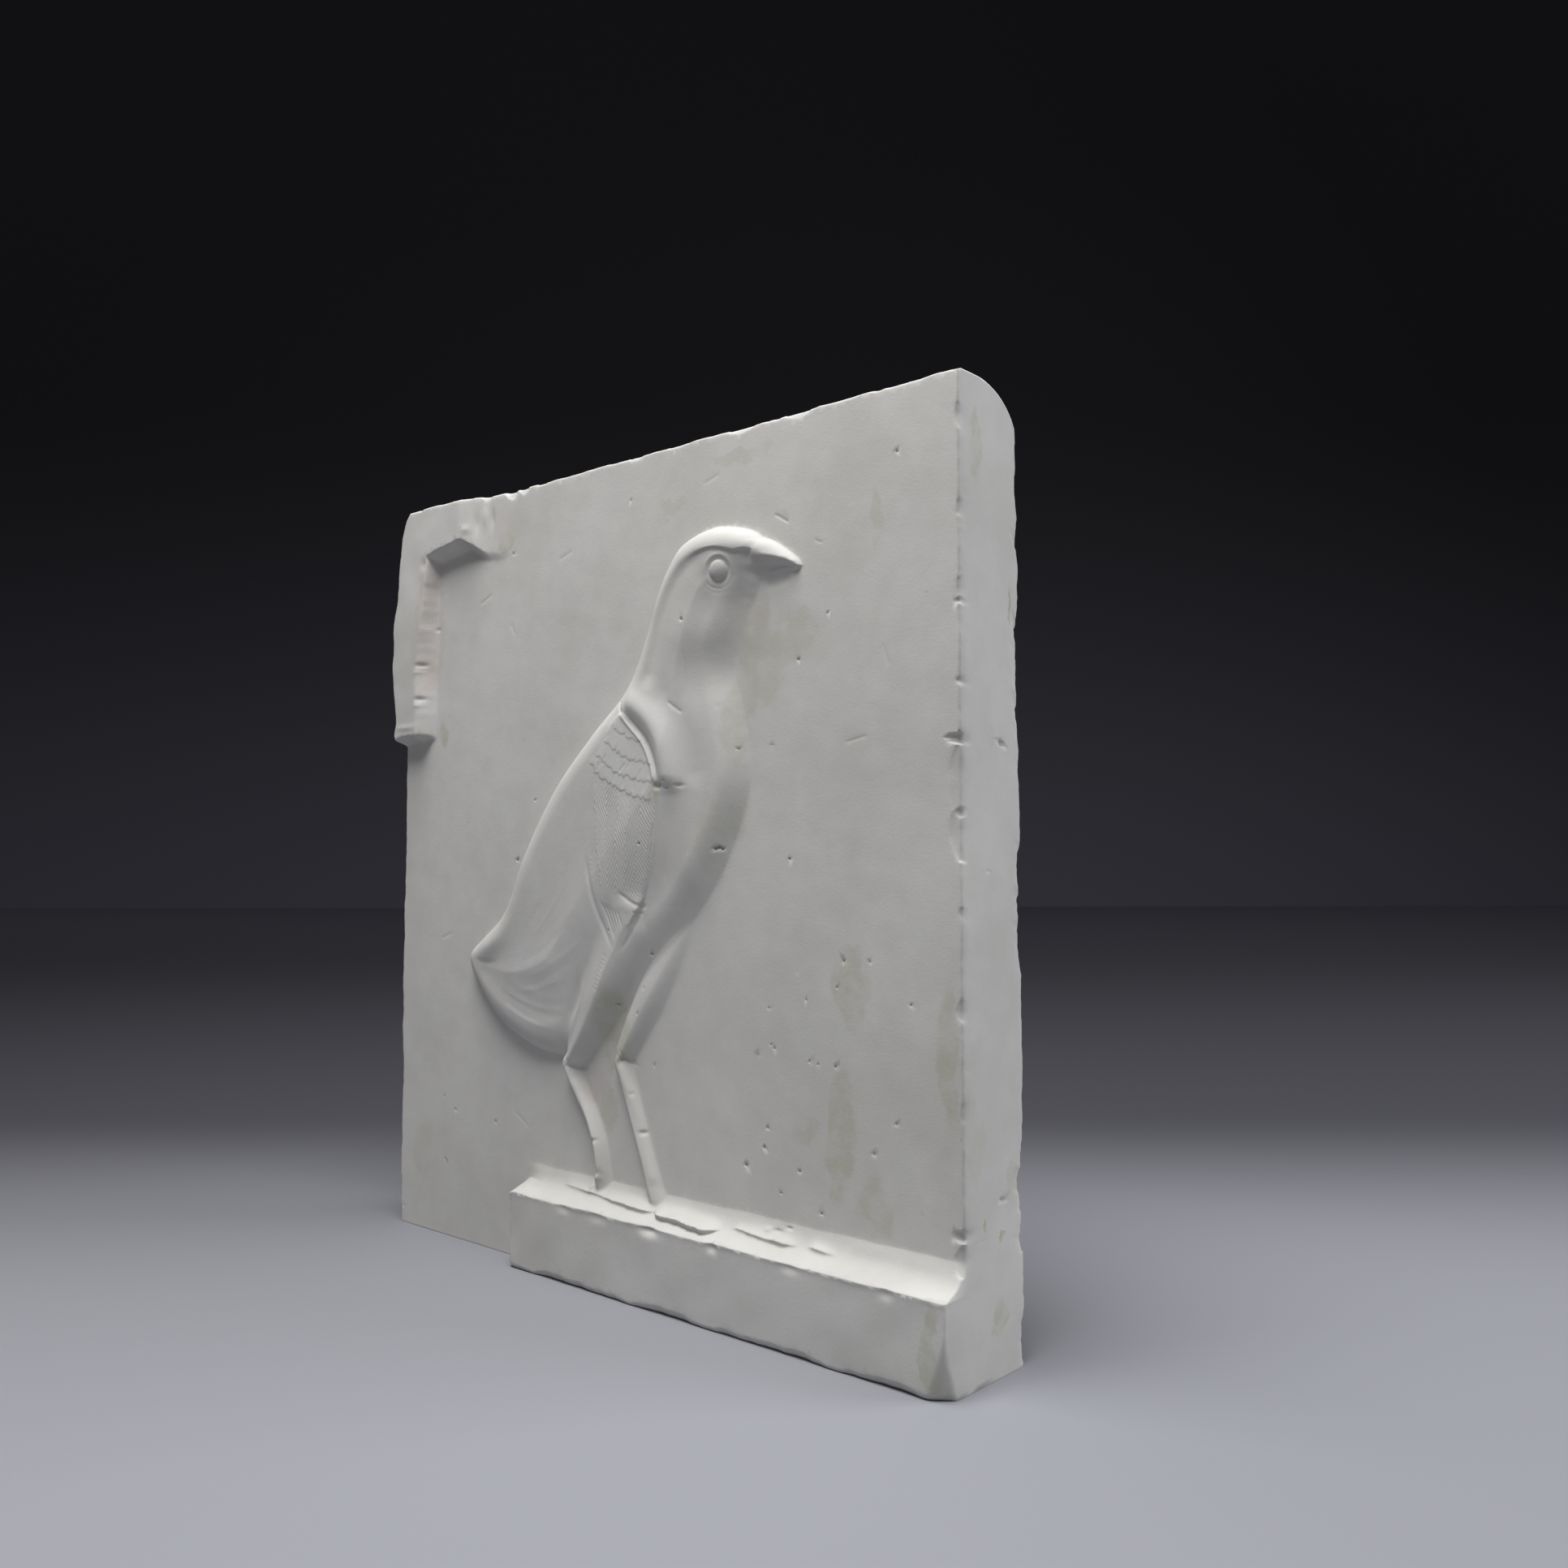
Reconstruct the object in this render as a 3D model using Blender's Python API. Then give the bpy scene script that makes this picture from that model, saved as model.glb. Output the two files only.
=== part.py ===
# Plaster relief: a cast slab with a quail chick standing on a ledge.
# Metres, +Z up. The relief looks towards -Y, and the slab stands on its lower edge.

import bmesh
import bpy
import numpy as np

# Slab
SLAB_HEIGHT = 0.240
SLAB_WIDTH = 0.231
SLAB_THICKNESS = 0.026      # from the panel's face to the back
EDGE_ROUNDING = 0.0012      # worn arris around the front
BACK_ROUNDING = 0.019       # top edge, where the slab turns over to its back
CORNER_ROUNDING = 0.010     # upper left corner, seen from the front
CORNER_SWELL = 0.0003       # how far the slab rises beside that corner
SWELL_SPAN = (0.004, 0.014, 0.030, 0.075)        # where that rise starts, is full, begins to fall and ends
CORNER_BEND = 2.2           # how quickly the corner turns in
LEFT_WAVE = 0.0016          # the left edge was never trimmed straight
LEFT_LONG_WAVE = (0.134, 0.6, 0.6)               # wave length, phase, share of the edge's wave
LEFT_SHORT_WAVE = (0.056, 1.9, 0.3)
BACK_SINK = 0.82            # how deep the top turns over, as a share of its rounding
BACK_END = 0.98             # how much of that quarter round is used

# Ledge that the bird stands on
LEDGE_DEPTH = 0.0083
LEDGE_LEFT = 0.0695         # from the slab's left edge
LEDGE_TOP = 0.0255          # where its top meets the panel
LEDGE_DROP = 0.0030         # its top falls this much to the front
LEDGE_END_ROUNDING = 0.0022
LEDGE_FILLET = 0.0036       # soft hollow where its top meets the panel
LEDGE_FOOT_BEVEL = 0.0016   # worn lower front edge
LEDGE_FOOT_WEAR = 0.7       # how far that edge is worn back, as a share of its height
LEDGE_HOLLOW_RISE = 0.4     # how far the fillet stands out, as a share of its height

# Border left standing at the upper left
BORDER_RISE = 0.0050
BORDER_WIDTH = 0.0150
BORDER_SLOPE = 0.0078       # width of its sloping inner face
BORDER_FOOT = 0.1635        # height of its lower end
BORDER_FOOT_SLOPE = 0.0022
ARM_LENGTH = 0.0420         # along the top, from the left edge
ARM_DEPTH = 0.0130          # from the top edge down
ARM_SLOPE = 0.0040
ARM_FADE = 0.0200           # its broken end dies away over this length
ARM_DIP = 0.0025            # the arm hangs lower beside the upright
ARM_DIP_SPAN = (0.012, 0.030)

# Chips along the right edge: height on the slab, half length, depth
RIGHT_CHIPS = [(0.1300, 0.0100, 0.0030), (0.1515, 0.0028, 0.0042), (0.1855, 0.0022, 0.0016),
               (0.0325, 0.0060, 0.0020)]
CHIP_REACH = 0.0050         # how far back the chips run into the side
CHIP_NOTCH = 0.35           # how much of a chip's depth shows in the slab's outline
LEDGE_CORNER_CHIP = 0.0060
LEDGE_CORNER_LEFT = 0.55    # share of the ledge's depth left at the chipped corner
LEDGE_CORNER_LEAN = 0.35

# Bird. Its pose and carving are shares of its own height, in hundredths.
BIRD_HEIGHT = 0.1885
BIRD_TAIL = 0.0425          # tail tip, from the slab's left edge
BIRD_RELIEF = 0.0074        # how far its body stands out from the panel

# across, up, width of the rolled edge, height as a share of the relief, and how softly the edge
# runs out into the panel
BODY = [
    (66.5, 96.9, 3.2, 0.72, 0), (58.6, 99.5, 3.8, 0.84, 0), (52.2, 98.3, 4.0, 0.84, 0), (48.8, 95.1, 4.0, 0.82, 0),
    (46.2, 90.7, 3.8, 0.80, 0), (43.9, 85.1, 3.8, 0.78, 0), (39.8, 77.6, 4.0, 0.84, 0), (32.3, 71.4, 4.2, 0.92, 0),
    (23.3, 63.3, 4.6, 0.92, 0), (15.2, 52.6, 4.6, 0.88, 0), (10.0, 43.2, 4.2, 0.78, 0), (3.4, 38.1, 3.0, 0.60, 0),
    (-0.2, 35.2, 2.2, 0.46, 0), (1.6, 30.8, 4.0, 0.54, 0.1), (8.4, 24.6, 6.5, 0.70, 0.2), (18.6, 20.9, 8.5, 0.74, 0.3),
    (29.5, 21.6, 8.5, 0.74, 0.5), (39.5, 29.4, 9.0, 0.82, 0.8), (49.1, 38.8, 8.6, 0.88, 1), (57.6, 47.8, 8.4, 0.92, 1),
    (63.0, 57.9, 8.2, 0.94, 1), (64.3, 65.0, 8.0, 0.94, 1), (62.8, 73.7, 7.4, 0.90, 1), (61.4, 79.3, 6.4, 0.78, 1),
    (64.0, 86.0, 5.0, 0.72, 0.8), (66.4, 91.0, 3.4, 0.72, 0.3)]
SOFT_EDGE = (-0.24, 1.05)   # where a soft edge begins and is full, in roll widths inwards from the outline
NECK_HOLLOW = (53.5, 81.0, 9.0, 5.5, 0.12)       # across, up, half width, half height, depth
CHEEK = (54.0, 90.0, 8.0, 6.0, 0.04)

# Beak: the same values
BEAK = [(65.0, 97.3, 2.6, 0.76, 0), (70.6, 95.4, 2.4, 0.66, 0), (74.8, 91.9, 1.0, 0.40, 0),
        (71.0, 90.6, 1.4, 0.54, 0), (66.0, 90.4, 1.6, 0.64, 0)]
GAPE = [(74.4, 91.2), (71.0, 91.7), (66.6, 91.4)]
GAPE_WIDTH = 0.42
GAPE_DEPTH = 0.10

# Eye
EYE = (60.8, 92.7)
EYE_LID = 3.0
EYE_BALL = 1.9
EYE_SOCKET = 0.10
EYE_DOME = 0.13
LID_RIM = 0.06
LID_WIDTH = 0.50

# Wing: front edge stands free of the flank, rear edge melts into the back
WING = [(41.4, 73.6), (45.2, 70.0), (47.8, 66.2), (49.0, 62.4), (48.6, 57.5), (47.4, 51.7),
        (45.2, 45.9), (42.2, 40.6), (39.0, 37.1), (36.1, 42.2), (34.0, 48.0), (32.9, 55.4),
        (33.4, 61.8), (35.5, 68.0), (38.3, 72.3)]
WING_RISE = 0.13
WING_EDGE = 0.9             # width of the step along the front edge
WING_REAR_EDGE = 4.9        # and along the rear edge
WING_FRONT = (36.5, 42.0)   # across, where the rear edge ends and the front edge begins
WING_LEAN = 0.12            # and how that place moves with the height above the wing's tip
WING_TIP = 40.0
COVERT_RISE = 0.05
COVERT_SPAN = (33.5, 49.0)  # across, from the rear to the front of the coverts
COVERT_FRONT = 61.0         # height of the step between coverts and flight feathers, front and rear
COVERT_REAR = 65.5
COVERT_STEP = 0.5
COVERT_EDGE = 2.5
WING_NOTCH = [(38.6, 46.3), (41.5, 44.9), (44.8, 43.9)]
NOTCH_WIDTH = 0.7
NOTCH_DEPTH = 0.10

# Rolled shoulder in front of the wing: middle line, half width, rise
SHOULDER = [(42.2, 75.4), (46.6, 73.3), (50.2, 69.6), (52.0, 65.6), (52.2, 62.8)]
SHOULDER_WIDTH = 3.0
SHOULDER_RISE = 0.15
SHOULDER_END = (61.4, 62.6)  # heights of the step that it ends in

# Legs: across, up, half width, height along each middle line
NEAR_THIGH = [(41.6, 41.1, 6.9, 0.92), (37.7, 35.3, 5.8, 0.98), (34.9, 30.5, 4.7, 1.0), (32.2, 26.4, 3.7, 0.96),
              (29.6, 22.8, 2.8, 0.90), (27.2, 19.8, 2.1, 0.80)]
NEAR_SHANK = [(27.2, 19.2, 1.9, 0.72), (28.2, 16.7, 1.6, 0.60), (29.9, 14.3, 1.5, 0.56), (31.8, 11.6, 1.45, 0.54),
              (33.4, 8.0, 1.4, 0.54), (34.2, 4.3, 1.5, 0.54), (34.3, 1.9, 1.7, 0.54)]
FAR_THIGH = [(52.4, 42.0, 1.6, 0.10), (49.0, 37.0, 2.6, 0.42), (45.0, 31.2, 3.2, 0.58), (41.4, 26.0, 2.9, 0.56),
             (39.1, 22.3, 2.3, 0.52)]
FAR_SHANK = [(38.7, 20.4, 2.0, 0.48), (40.6, 16.2, 1.9, 0.43), (42.5, 11.7, 1.8, 0.42), (44.4, 7.2, 1.8, 0.42),
             (46.0, 2.9, 2.1, 0.44)]
BEAK_BLEND = 0.06           # how widely two forms run into each other
LEG_BLEND = 0.05
BODY_BLEND = 0.08
OPEN_PANEL = (0.03, 0.10)   # forms lower than this are left out, so that the panel stays flat

# Feet lie on the ledge: start and end across, reach out over the ledge at each end, height
FOOT_RISE = 2.4             # where the foot's back meets the panel, above the ledge
FOOT_LIP = 0.5              # thickness of its front edge
FOOT_START = (-1.5, 0.5)    # a foot grows over this stretch at its start and ends over the other
FOOT_END = (-1.0, 1.0)
FOOT_SOLE = 0.1             # its underside, above the ledge's top
NEAR_FOOT = (32.0, 61.0, 0.20, 0.80)
FAR_FOOT = (56.0, 81.5, 0.20, 0.46)

# Working grid and the number of faces left when flat parts are thinned out
GRID_STEP = 0.0010
LEDGE_GRID_STEP = 0.0005
FACE_COUNT = 9400

PLASTER_COLOUR = (0.56, 0.545, 0.51, 1.0)
PLASTER_ROUGHNESS = 0.82
SHARP_ANGLE = 40            # degrees, for the shading of sharp edges

UNIT = BIRD_HEIGHT / 100
DEPTH = SLAB_THICKNESS + LEDGE_DEPTH
PANEL_Y = LEDGE_DEPTH - DEPTH / 2
BACK_Y = DEPTH / 2


def smooth_step(low, high, value):
    t = np.clip((value - low) / (high - low), 0, 1)
    return t * t * (3 - 2 * t)


def smooth_max(a, b, blend):
    t = np.clip(0.5 + 0.5 * (a - b) / blend, 0, 1)
    return b + (a - b) * t + blend * t * (1 - t)


def roll(t):
    # A quarter round that starts upright at 0 and lies flat at 1
    return np.sqrt(1 - (1 - np.clip(t, 0, 1)) ** 2)


def bump(x, z, middle_x, middle_z, half_width, half_height):
    return np.exp(-((x - middle_x) / half_width) ** 2 - ((z - middle_z) / half_height) ** 2)


def smooth_line(points, closed, steps=6):
    # Catmull-Rom through the points, with every value that a point carries
    points = np.array(points, float)
    count = len(points)
    rows = []
    for i in range(count if closed else count - 1):
        if closed:
            a, b, c, d = (points[(i + k) % count] for k in (-1, 0, 1, 2))
        else:
            a, b, c, d = (points[min(max(i + k, 0), count - 1)] for k in (-1, 0, 1, 2))
        for t in np.arange(steps) / steps:
            rows.append(0.5 * (2 * b + (c - a) * t + (2 * a - 5 * b + 4 * c - d) * t ** 2
                               + (3 * b - a - 3 * c + d) * t ** 3))
    if not closed:
        rows.append(points[-1])
    return np.array(rows)


def nearest(x, z, line, closed):
    # Distance to a line, and the line's own values at the nearest place
    ends = np.roll(line, -1, axis=0) if closed else line[1:]
    starts = line if closed else line[:-1]
    distance = np.full(x.shape, np.inf)
    values = np.zeros(x.shape + (line.shape[1],))
    for start, end in zip(starts, ends):
        run = end[:2] - start[:2]
        t = np.clip(((x - start[0]) * run[0] + (z - start[1]) * run[1]) / (run @ run + 1e-12), 0, 1)
        gap = np.hypot(x - start[0] - t * run[0], z - start[1] - t * run[1])
        closer = gap < distance
        distance[closer] = gap[closer]
        values[closer] = start + t[closer][:, None] * (end - start)
    return distance, values


def inside(x, z, line):
    hit = np.zeros(x.shape, bool)
    for start, end in zip(line, np.roll(line, -1, axis=0)):
        crosses = (start[1] > z) != (end[1] > z)
        edge = start[0] + (z - start[1]) * (end[0] - start[0]) / (end[1] - start[1] + 1e-12)
        hit ^= crosses & (x < edge)
    return hit


def rolled_form(x, z, outline):
    # A form with a rolled edge. Each outline point carries its roll width, its height and its softness.
    line = smooth_line(outline, True)
    distance, _ = nearest(x, z, line, True)
    within = inside(x, z, line)
    weight = 0
    total = 0
    for point in line:
        pull = 1 / (np.hypot(x - point[0], z - point[1]) + 0.5) ** 4
        weight = weight + pull
        total = total + pull[..., None] * point[2:]
    roll_width, height, soft = np.moveaxis(total / weight[..., None], -1, 0)
    t = np.where(within, distance, -distance) / roll_width
    rolled = np.where(within, roll(t), 0)
    return height * ((1 - soft) * rolled + soft * smooth_step(*SOFT_EDGE, t))


def limb(x, z, middle_line):
    # A rounded limb. Each point carries its half width and its height.
    distance, values = nearest(x, z, smooth_line(middle_line, False), False)
    t = np.clip(distance / values[..., 2], 0, 1)
    return values[..., 3] * np.sqrt(1 - t ** 2)


def outline_distance(x, z):
    # Distance to the bird's outline, more than 0 inside it
    distance = np.full(x.shape, -np.inf)
    for outline in (BODY, BEAK):
        line = smooth_line(outline, True)
        gap, _ = nearest(x, z, line, True)
        distance = np.maximum(distance, np.where(inside(x, z, line), gap, -gap))
    for middle_line in (NEAR_THIGH, NEAR_SHANK, FAR_THIGH, FAR_SHANK):
        gap, values = nearest(x, z, smooth_line(middle_line, False), False)
        distance = np.maximum(distance, values[..., 2] - gap)
    return distance


def groove(x, z, points, half_width):
    distance, _ = nearest(x, z, smooth_line(points, False), False)
    return np.exp(-(distance / half_width) ** 2)


def wing_shape(x, z):
    line = smooth_line(WING, True)
    distance, _ = nearest(x, z, line, True)
    distance = np.where(inside(x, z, line), distance, 0)
    # The rear edge is only a soft swelling
    front = smooth_step(*WING_FRONT, x + WING_LEAN * (z - WING_TIP))
    width = WING_EDGE * front + WING_REAR_EDGE * (1 - front)
    shape = WING_RISE * smooth_step(0, 1, distance / width)
    step = COVERT_REAR + (COVERT_FRONT - COVERT_REAR) * smooth_step(*COVERT_SPAN, x)
    coverts = smooth_step(-COVERT_STEP, COVERT_STEP, z - step) * smooth_step(0, COVERT_EDGE, distance)
    shape = shape + COVERT_RISE * coverts
    return shape - NOTCH_DEPTH * groove(x, z, WING_NOTCH, NOTCH_WIDTH) * (distance > 0)


def eye_shape(x, z):
    reach = np.hypot(x - EYE[0], (z - EYE[1]) * 1.05)
    socket = -EYE_SOCKET * smooth_step(EYE_LID * 1.15, EYE_BALL, reach)
    ball = EYE_DOME * np.sqrt(np.clip(1 - (reach / EYE_BALL) ** 2, 0, 1))
    rim = LID_RIM * np.exp(-((reach - EYE_LID) / LID_WIDTH) ** 2)
    return socket + ball + rim


def bird_height(x, z):
    # x and z in hundredths of the bird's height; the result is a share of its relief
    body = rolled_form(x, z, BODY)
    on_body = smooth_step(0, BODY[0][3] / 2, body)
    body = body - NECK_HOLLOW[4] * bump(x, z, *NECK_HOLLOW[:4]) * on_body
    body = body + CHEEK[4] * bump(x, z, *CHEEK[:4]) * on_body
    beak = rolled_form(x, z, BEAK)
    beak = beak - GAPE_DEPTH * groove(x, z, GAPE, GAPE_WIDTH) * smooth_step(0, 2 * GAPE_DEPTH, beak)
    body = smooth_max(body, beak, BEAK_BLEND)
    shoulder = groove(x, z, SHOULDER, SHOULDER_WIDTH) * smooth_step(*SHOULDER_END, z)
    body = body + SHOULDER_RISE * shoulder * on_body
    body = body + wing_shape(x, z) + eye_shape(x, z)
    near_leg = smooth_max(limb(x, z, NEAR_THIGH), limb(x, z, NEAR_SHANK), LEG_BLEND)
    far_leg = smooth_max(limb(x, z, FAR_THIGH), limb(x, z, FAR_SHANK), LEG_BLEND)
    bird = smooth_max(body, far_leg, BODY_BLEND)
    bird = smooth_max(bird, near_leg, BODY_BLEND)
    # The blends add a little everywhere, so the open panel is set back to nothing
    return bird * smooth_step(*OPEN_PANEL, bird)


def foot_height(x, z, foot):
    start, end, reach_start, reach_end = foot
    along = np.clip((x - start) / (end - start), 0, 1)
    reach = reach_start + (reach_end - reach_start) * along
    ends = smooth_step(*FOOT_START, x - start) * smooth_step(*FOOT_END, end - x)
    back = np.clip((FOOT_RISE - z) / (FOOT_RISE - FOOT_LIP), 0, 1)
    return reach * back * ends * (z > FOOT_SOLE)


def ledge_height(x, z):
    # The top falls to the front, so the ledge's height grows over that drop
    top = np.clip((LEDGE_TOP - z) / LEDGE_DROP, 0, 1)
    fillet = LEDGE_HOLLOW_RISE * LEDGE_FILLET * np.clip(1 - (z - LEDGE_TOP) / LEDGE_FILLET, 0, 1) ** 2
    end = roll((x - LEDGE_LEFT) / LEDGE_END_ROUNDING) * (x > LEDGE_LEFT)
    corner = smooth_step(0, LEDGE_CORNER_CHIP, SLAB_WIDTH - x + LEDGE_CORNER_LEAN * z)
    height = smooth_max(LEDGE_DEPTH * top, fillet, LEDGE_FILLET / 9)
    height = height - LEDGE_FOOT_WEAR * LEDGE_FOOT_BEVEL * np.clip(1 - z / LEDGE_FOOT_BEVEL, 0, 1) ** 1.5
    return height * end * (LEDGE_CORNER_LEFT + (1 - LEDGE_CORNER_LEFT) * corner)


def border_height(x, z):
    upright = smooth_step(BORDER_WIDTH + BORDER_SLOPE, BORDER_WIDTH, x)
    upright = upright * smooth_step(BORDER_FOOT - BORDER_FOOT_SLOPE, BORDER_FOOT, z)
    arm_edge = SLAB_HEIGHT - ARM_DEPTH - ARM_DIP * (1 - smooth_step(*ARM_DIP_SPAN, x))
    arm = smooth_step(arm_edge - ARM_SLOPE, arm_edge, z)
    arm = arm * smooth_step(ARM_LENGTH + ARM_FADE, ARM_LENGTH - ARM_FADE / 2, x)
    return BORDER_RISE * np.maximum(upright, arm)


def left_edge(z):
    wave = 1
    for length, phase, share in (LEFT_LONG_WAVE, LEFT_SHORT_WAVE):
        wave = wave + share * np.sin(2 * np.pi * z / length + phase)
    above = z - (SLAB_HEIGHT - 2 * CORNER_ROUNDING)
    corner = CORNER_ROUNDING * np.clip(above / (2 * CORNER_ROUNDING), 0, 1) ** CORNER_BEND
    return LEFT_WAVE * wave + corner


def right_edge(z):
    inset = 0
    for height, half_length, depth in RIGHT_CHIPS:
        inset = inset + CHIP_NOTCH * depth * np.exp(-((z - height) / half_length) ** 2)
    return SLAB_WIDTH - inset


def top_edge(x):
    start, full, falling, end = SWELL_SPAN
    swell = smooth_step(start, full, x) * smooth_step(end, falling, x)
    return SLAB_HEIGHT - CORNER_SWELL * (1 - swell)


def relief_height(x, z, edge):
    bird_x = (x - BIRD_TAIL) / UNIT
    bird_z = (z - LEDGE_TOP) / UNIT
    height = BIRD_RELIEF * bird_height(bird_x, bird_z)
    feet = np.maximum(foot_height(bird_x, bird_z, NEAR_FOOT), foot_height(bird_x, bird_z, FAR_FOOT))
    height = np.maximum(height, BIRD_RELIEF * feet)
    height = np.maximum(height, ledge_height(x, z))
    height = np.maximum(height, border_height(x, z))
    for chip_z, half_length, depth in RIGHT_CHIPS:
        near = smooth_step(depth, 0, SLAB_WIDTH - x) * np.exp(-((z - chip_z) / half_length) ** 2)
        height = height - 2 * CHIP_NOTCH * depth * near
    return height - EDGE_ROUNDING * (1 - roll(edge / EDGE_ROUNDING))


def grid_lines(length, step, dense_from=0, dense_to=0, dense_step=None):
    # Even lines, with the worn edge's own lines at both ends and denser ones in a band
    lines = list(np.linspace(EDGE_ROUNDING, length - EDGE_ROUNDING, int(round(length / step))))
    if dense_step:
        lines = [line for line in lines if not dense_from <= line <= dense_to]
        lines += list(np.arange(dense_from, dense_to, dense_step))
    lines += [0, EDGE_ROUNDING * 0.3, length - EDGE_ROUNDING * 0.3, length]
    return np.array(sorted(lines))


def back_top(y):
    # Height of the slab's top at a depth, as a share: it turns over to the back
    into = np.clip((y - (BACK_Y - BACK_ROUNDING)) / BACK_ROUNDING, 0, 1)
    return 1 - BACK_SINK * BACK_ROUNDING / SLAB_HEIGHT * (1 - np.sqrt(1 - (BACK_END * into) ** 2))


def draw_to_outline(x, z, columns, rows):
    # Grid points close to the bird's outline move onto it, so its foot is a clean line
    distance = UNIT * outline_distance((x - BIRD_TAIL) / UNIT, (z - LEDGE_TOP) / UNIT)
    rise_z, rise_x = np.gradient(distance, rows, columns)
    slope = rise_x ** 2 + rise_z ** 2
    close = (np.abs(distance) < 0.48 * GRID_STEP) & (slope > 0.4) & (z > LEDGE_TOP + UNIT)
    shift = np.where(close, -distance / np.maximum(slope, 0.4), 0)
    return x + shift * rise_x, z + shift * rise_z


def build_slab():
    columns = grid_lines(SLAB_WIDTH, GRID_STEP)
    rows = grid_lines(SLAB_HEIGHT, GRID_STEP, LEDGE_TOP - LEDGE_DROP - 0.001, LEDGE_TOP + 0.007, LEDGE_GRID_STEP)
    flat_x, flat_z = np.meshgrid(columns / SLAB_WIDTH, rows / SLAB_HEIGHT)
    z = flat_z * SLAB_HEIGHT
    x = left_edge(z) * (1 - flat_x) + right_edge(z) * flat_x
    z = flat_z * top_edge(x)
    x, z = draw_to_outline(x, z, columns, rows)
    edge = np.minimum(np.minimum(columns, SLAB_WIDTH - columns)[None, :],
                      np.minimum(rows + EDGE_ROUNDING, SLAB_HEIGHT - rows)[:, None])
    y = PANEL_Y - relief_height(x, z, edge)

    bm = bmesh.new()
    bmesh.ops.create_grid(bm, x_segments=len(columns) - 1, y_segments=len(rows) - 1, size=1)
    for vert in bm.verts:
        i = round((vert.co.x + 1) / 2 * (len(columns) - 1))
        j = round((vert.co.y + 1) / 2 * (len(rows) - 1))
        vert.co = (x[j, i] - SLAB_WIDTH / 2, y[j, i], z[j, i])

    # Carry the outline back in steps, and close it with a flat back. The chips end at the first step.
    rim = [edge for edge in bm.edges if edge.is_boundary]
    grown = bmesh.ops.extrude_edge_only(bm, edges=rim)["geom"]
    for vert in (item for item in grown if isinstance(item, bmesh.types.BMVert)):
        vert.co.y = PANEL_Y + CHIP_REACH
        if vert.co.x > SLAB_WIDTH / 2 - CHIP_REACH:
            vert.co.x = SLAB_WIDTH / 2
    share = 1.0
    for step in np.linspace(0, 1, 7):
        ring_y = BACK_Y - BACK_ROUNDING * (1 - step)
        ring_share = back_top(ring_y)
        edges = [edge for edge in bm.edges if edge.is_boundary]
        grown = bmesh.ops.extrude_edge_only(bm, edges=edges)["geom"]
        for vert in (item for item in grown if isinstance(item, bmesh.types.BMVert)):
            vert.co.y = ring_y
            vert.co.z *= ring_share / share
        share = ring_share
    rim = [edge for edge in bm.edges if edge.is_boundary]
    bmesh.ops.contextual_create(bm, geom=rim)
    bmesh.ops.triangulate(bm, faces=bm.faces)
    bmesh.ops.recalc_face_normals(bm, faces=bm.faces)
    mesh = bpy.data.meshes.new("plaster_relief")
    bm.to_mesh(mesh)
    bm.free()
    return mesh


def thin_out(item):
    # Fewer faces where the surface is flat; the underside and the back stay true planes
    modifier = item.modifiers.new("thin out", "DECIMATE")
    modifier.ratio = FACE_COUNT / len(item.data.polygons)
    bpy.context.view_layer.update()
    evaluated = item.evaluated_get(bpy.context.evaluated_depsgraph_get())
    mesh = bpy.data.meshes.new_from_object(evaluated)
    item.modifiers.remove(modifier)
    near = EDGE_ROUNDING / 20
    bm = bmesh.new()
    bm.from_mesh(mesh)
    for vert in bm.verts:
        if vert.co.z < near:
            vert.co.z = 0
        if vert.co.y > BACK_Y - near:
            vert.co.y = BACK_Y
    bmesh.ops.dissolve_degenerate(bm, dist=near, edges=bm.edges)
    bmesh.ops.triangulate(bm, faces=bm.faces)
    bm.to_mesh(mesh)
    bm.free()
    old = item.data
    item.data = mesh
    bpy.data.meshes.remove(old)
    mesh.name = item.name


def plaster():
    material = bpy.data.materials.new("plaster")
    material.use_nodes = True
    shader = material.node_tree.nodes["Principled BSDF"]
    shader.inputs["Base Color"].default_value = PLASTER_COLOUR
    shader.inputs["Roughness"].default_value = PLASTER_ROUGHNESS
    shader.inputs["Metallic"].default_value = 0.0
    return material


def build():
    for item in list(bpy.data.objects):
        bpy.data.objects.remove(item, do_unlink=True)
    collection = bpy.data.collections.new("quail_chick_relief")
    bpy.context.scene.collection.children.link(collection)
    relief = bpy.data.objects.new("plaster_relief", build_slab())
    collection.objects.link(relief)
    thin_out(relief)
    relief.data.materials.append(plaster())
    relief.data.shade_smooth()
    relief.data.set_sharp_from_angle(angle=np.radians(SHARP_ANGLE))


build()
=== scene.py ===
import math

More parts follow.
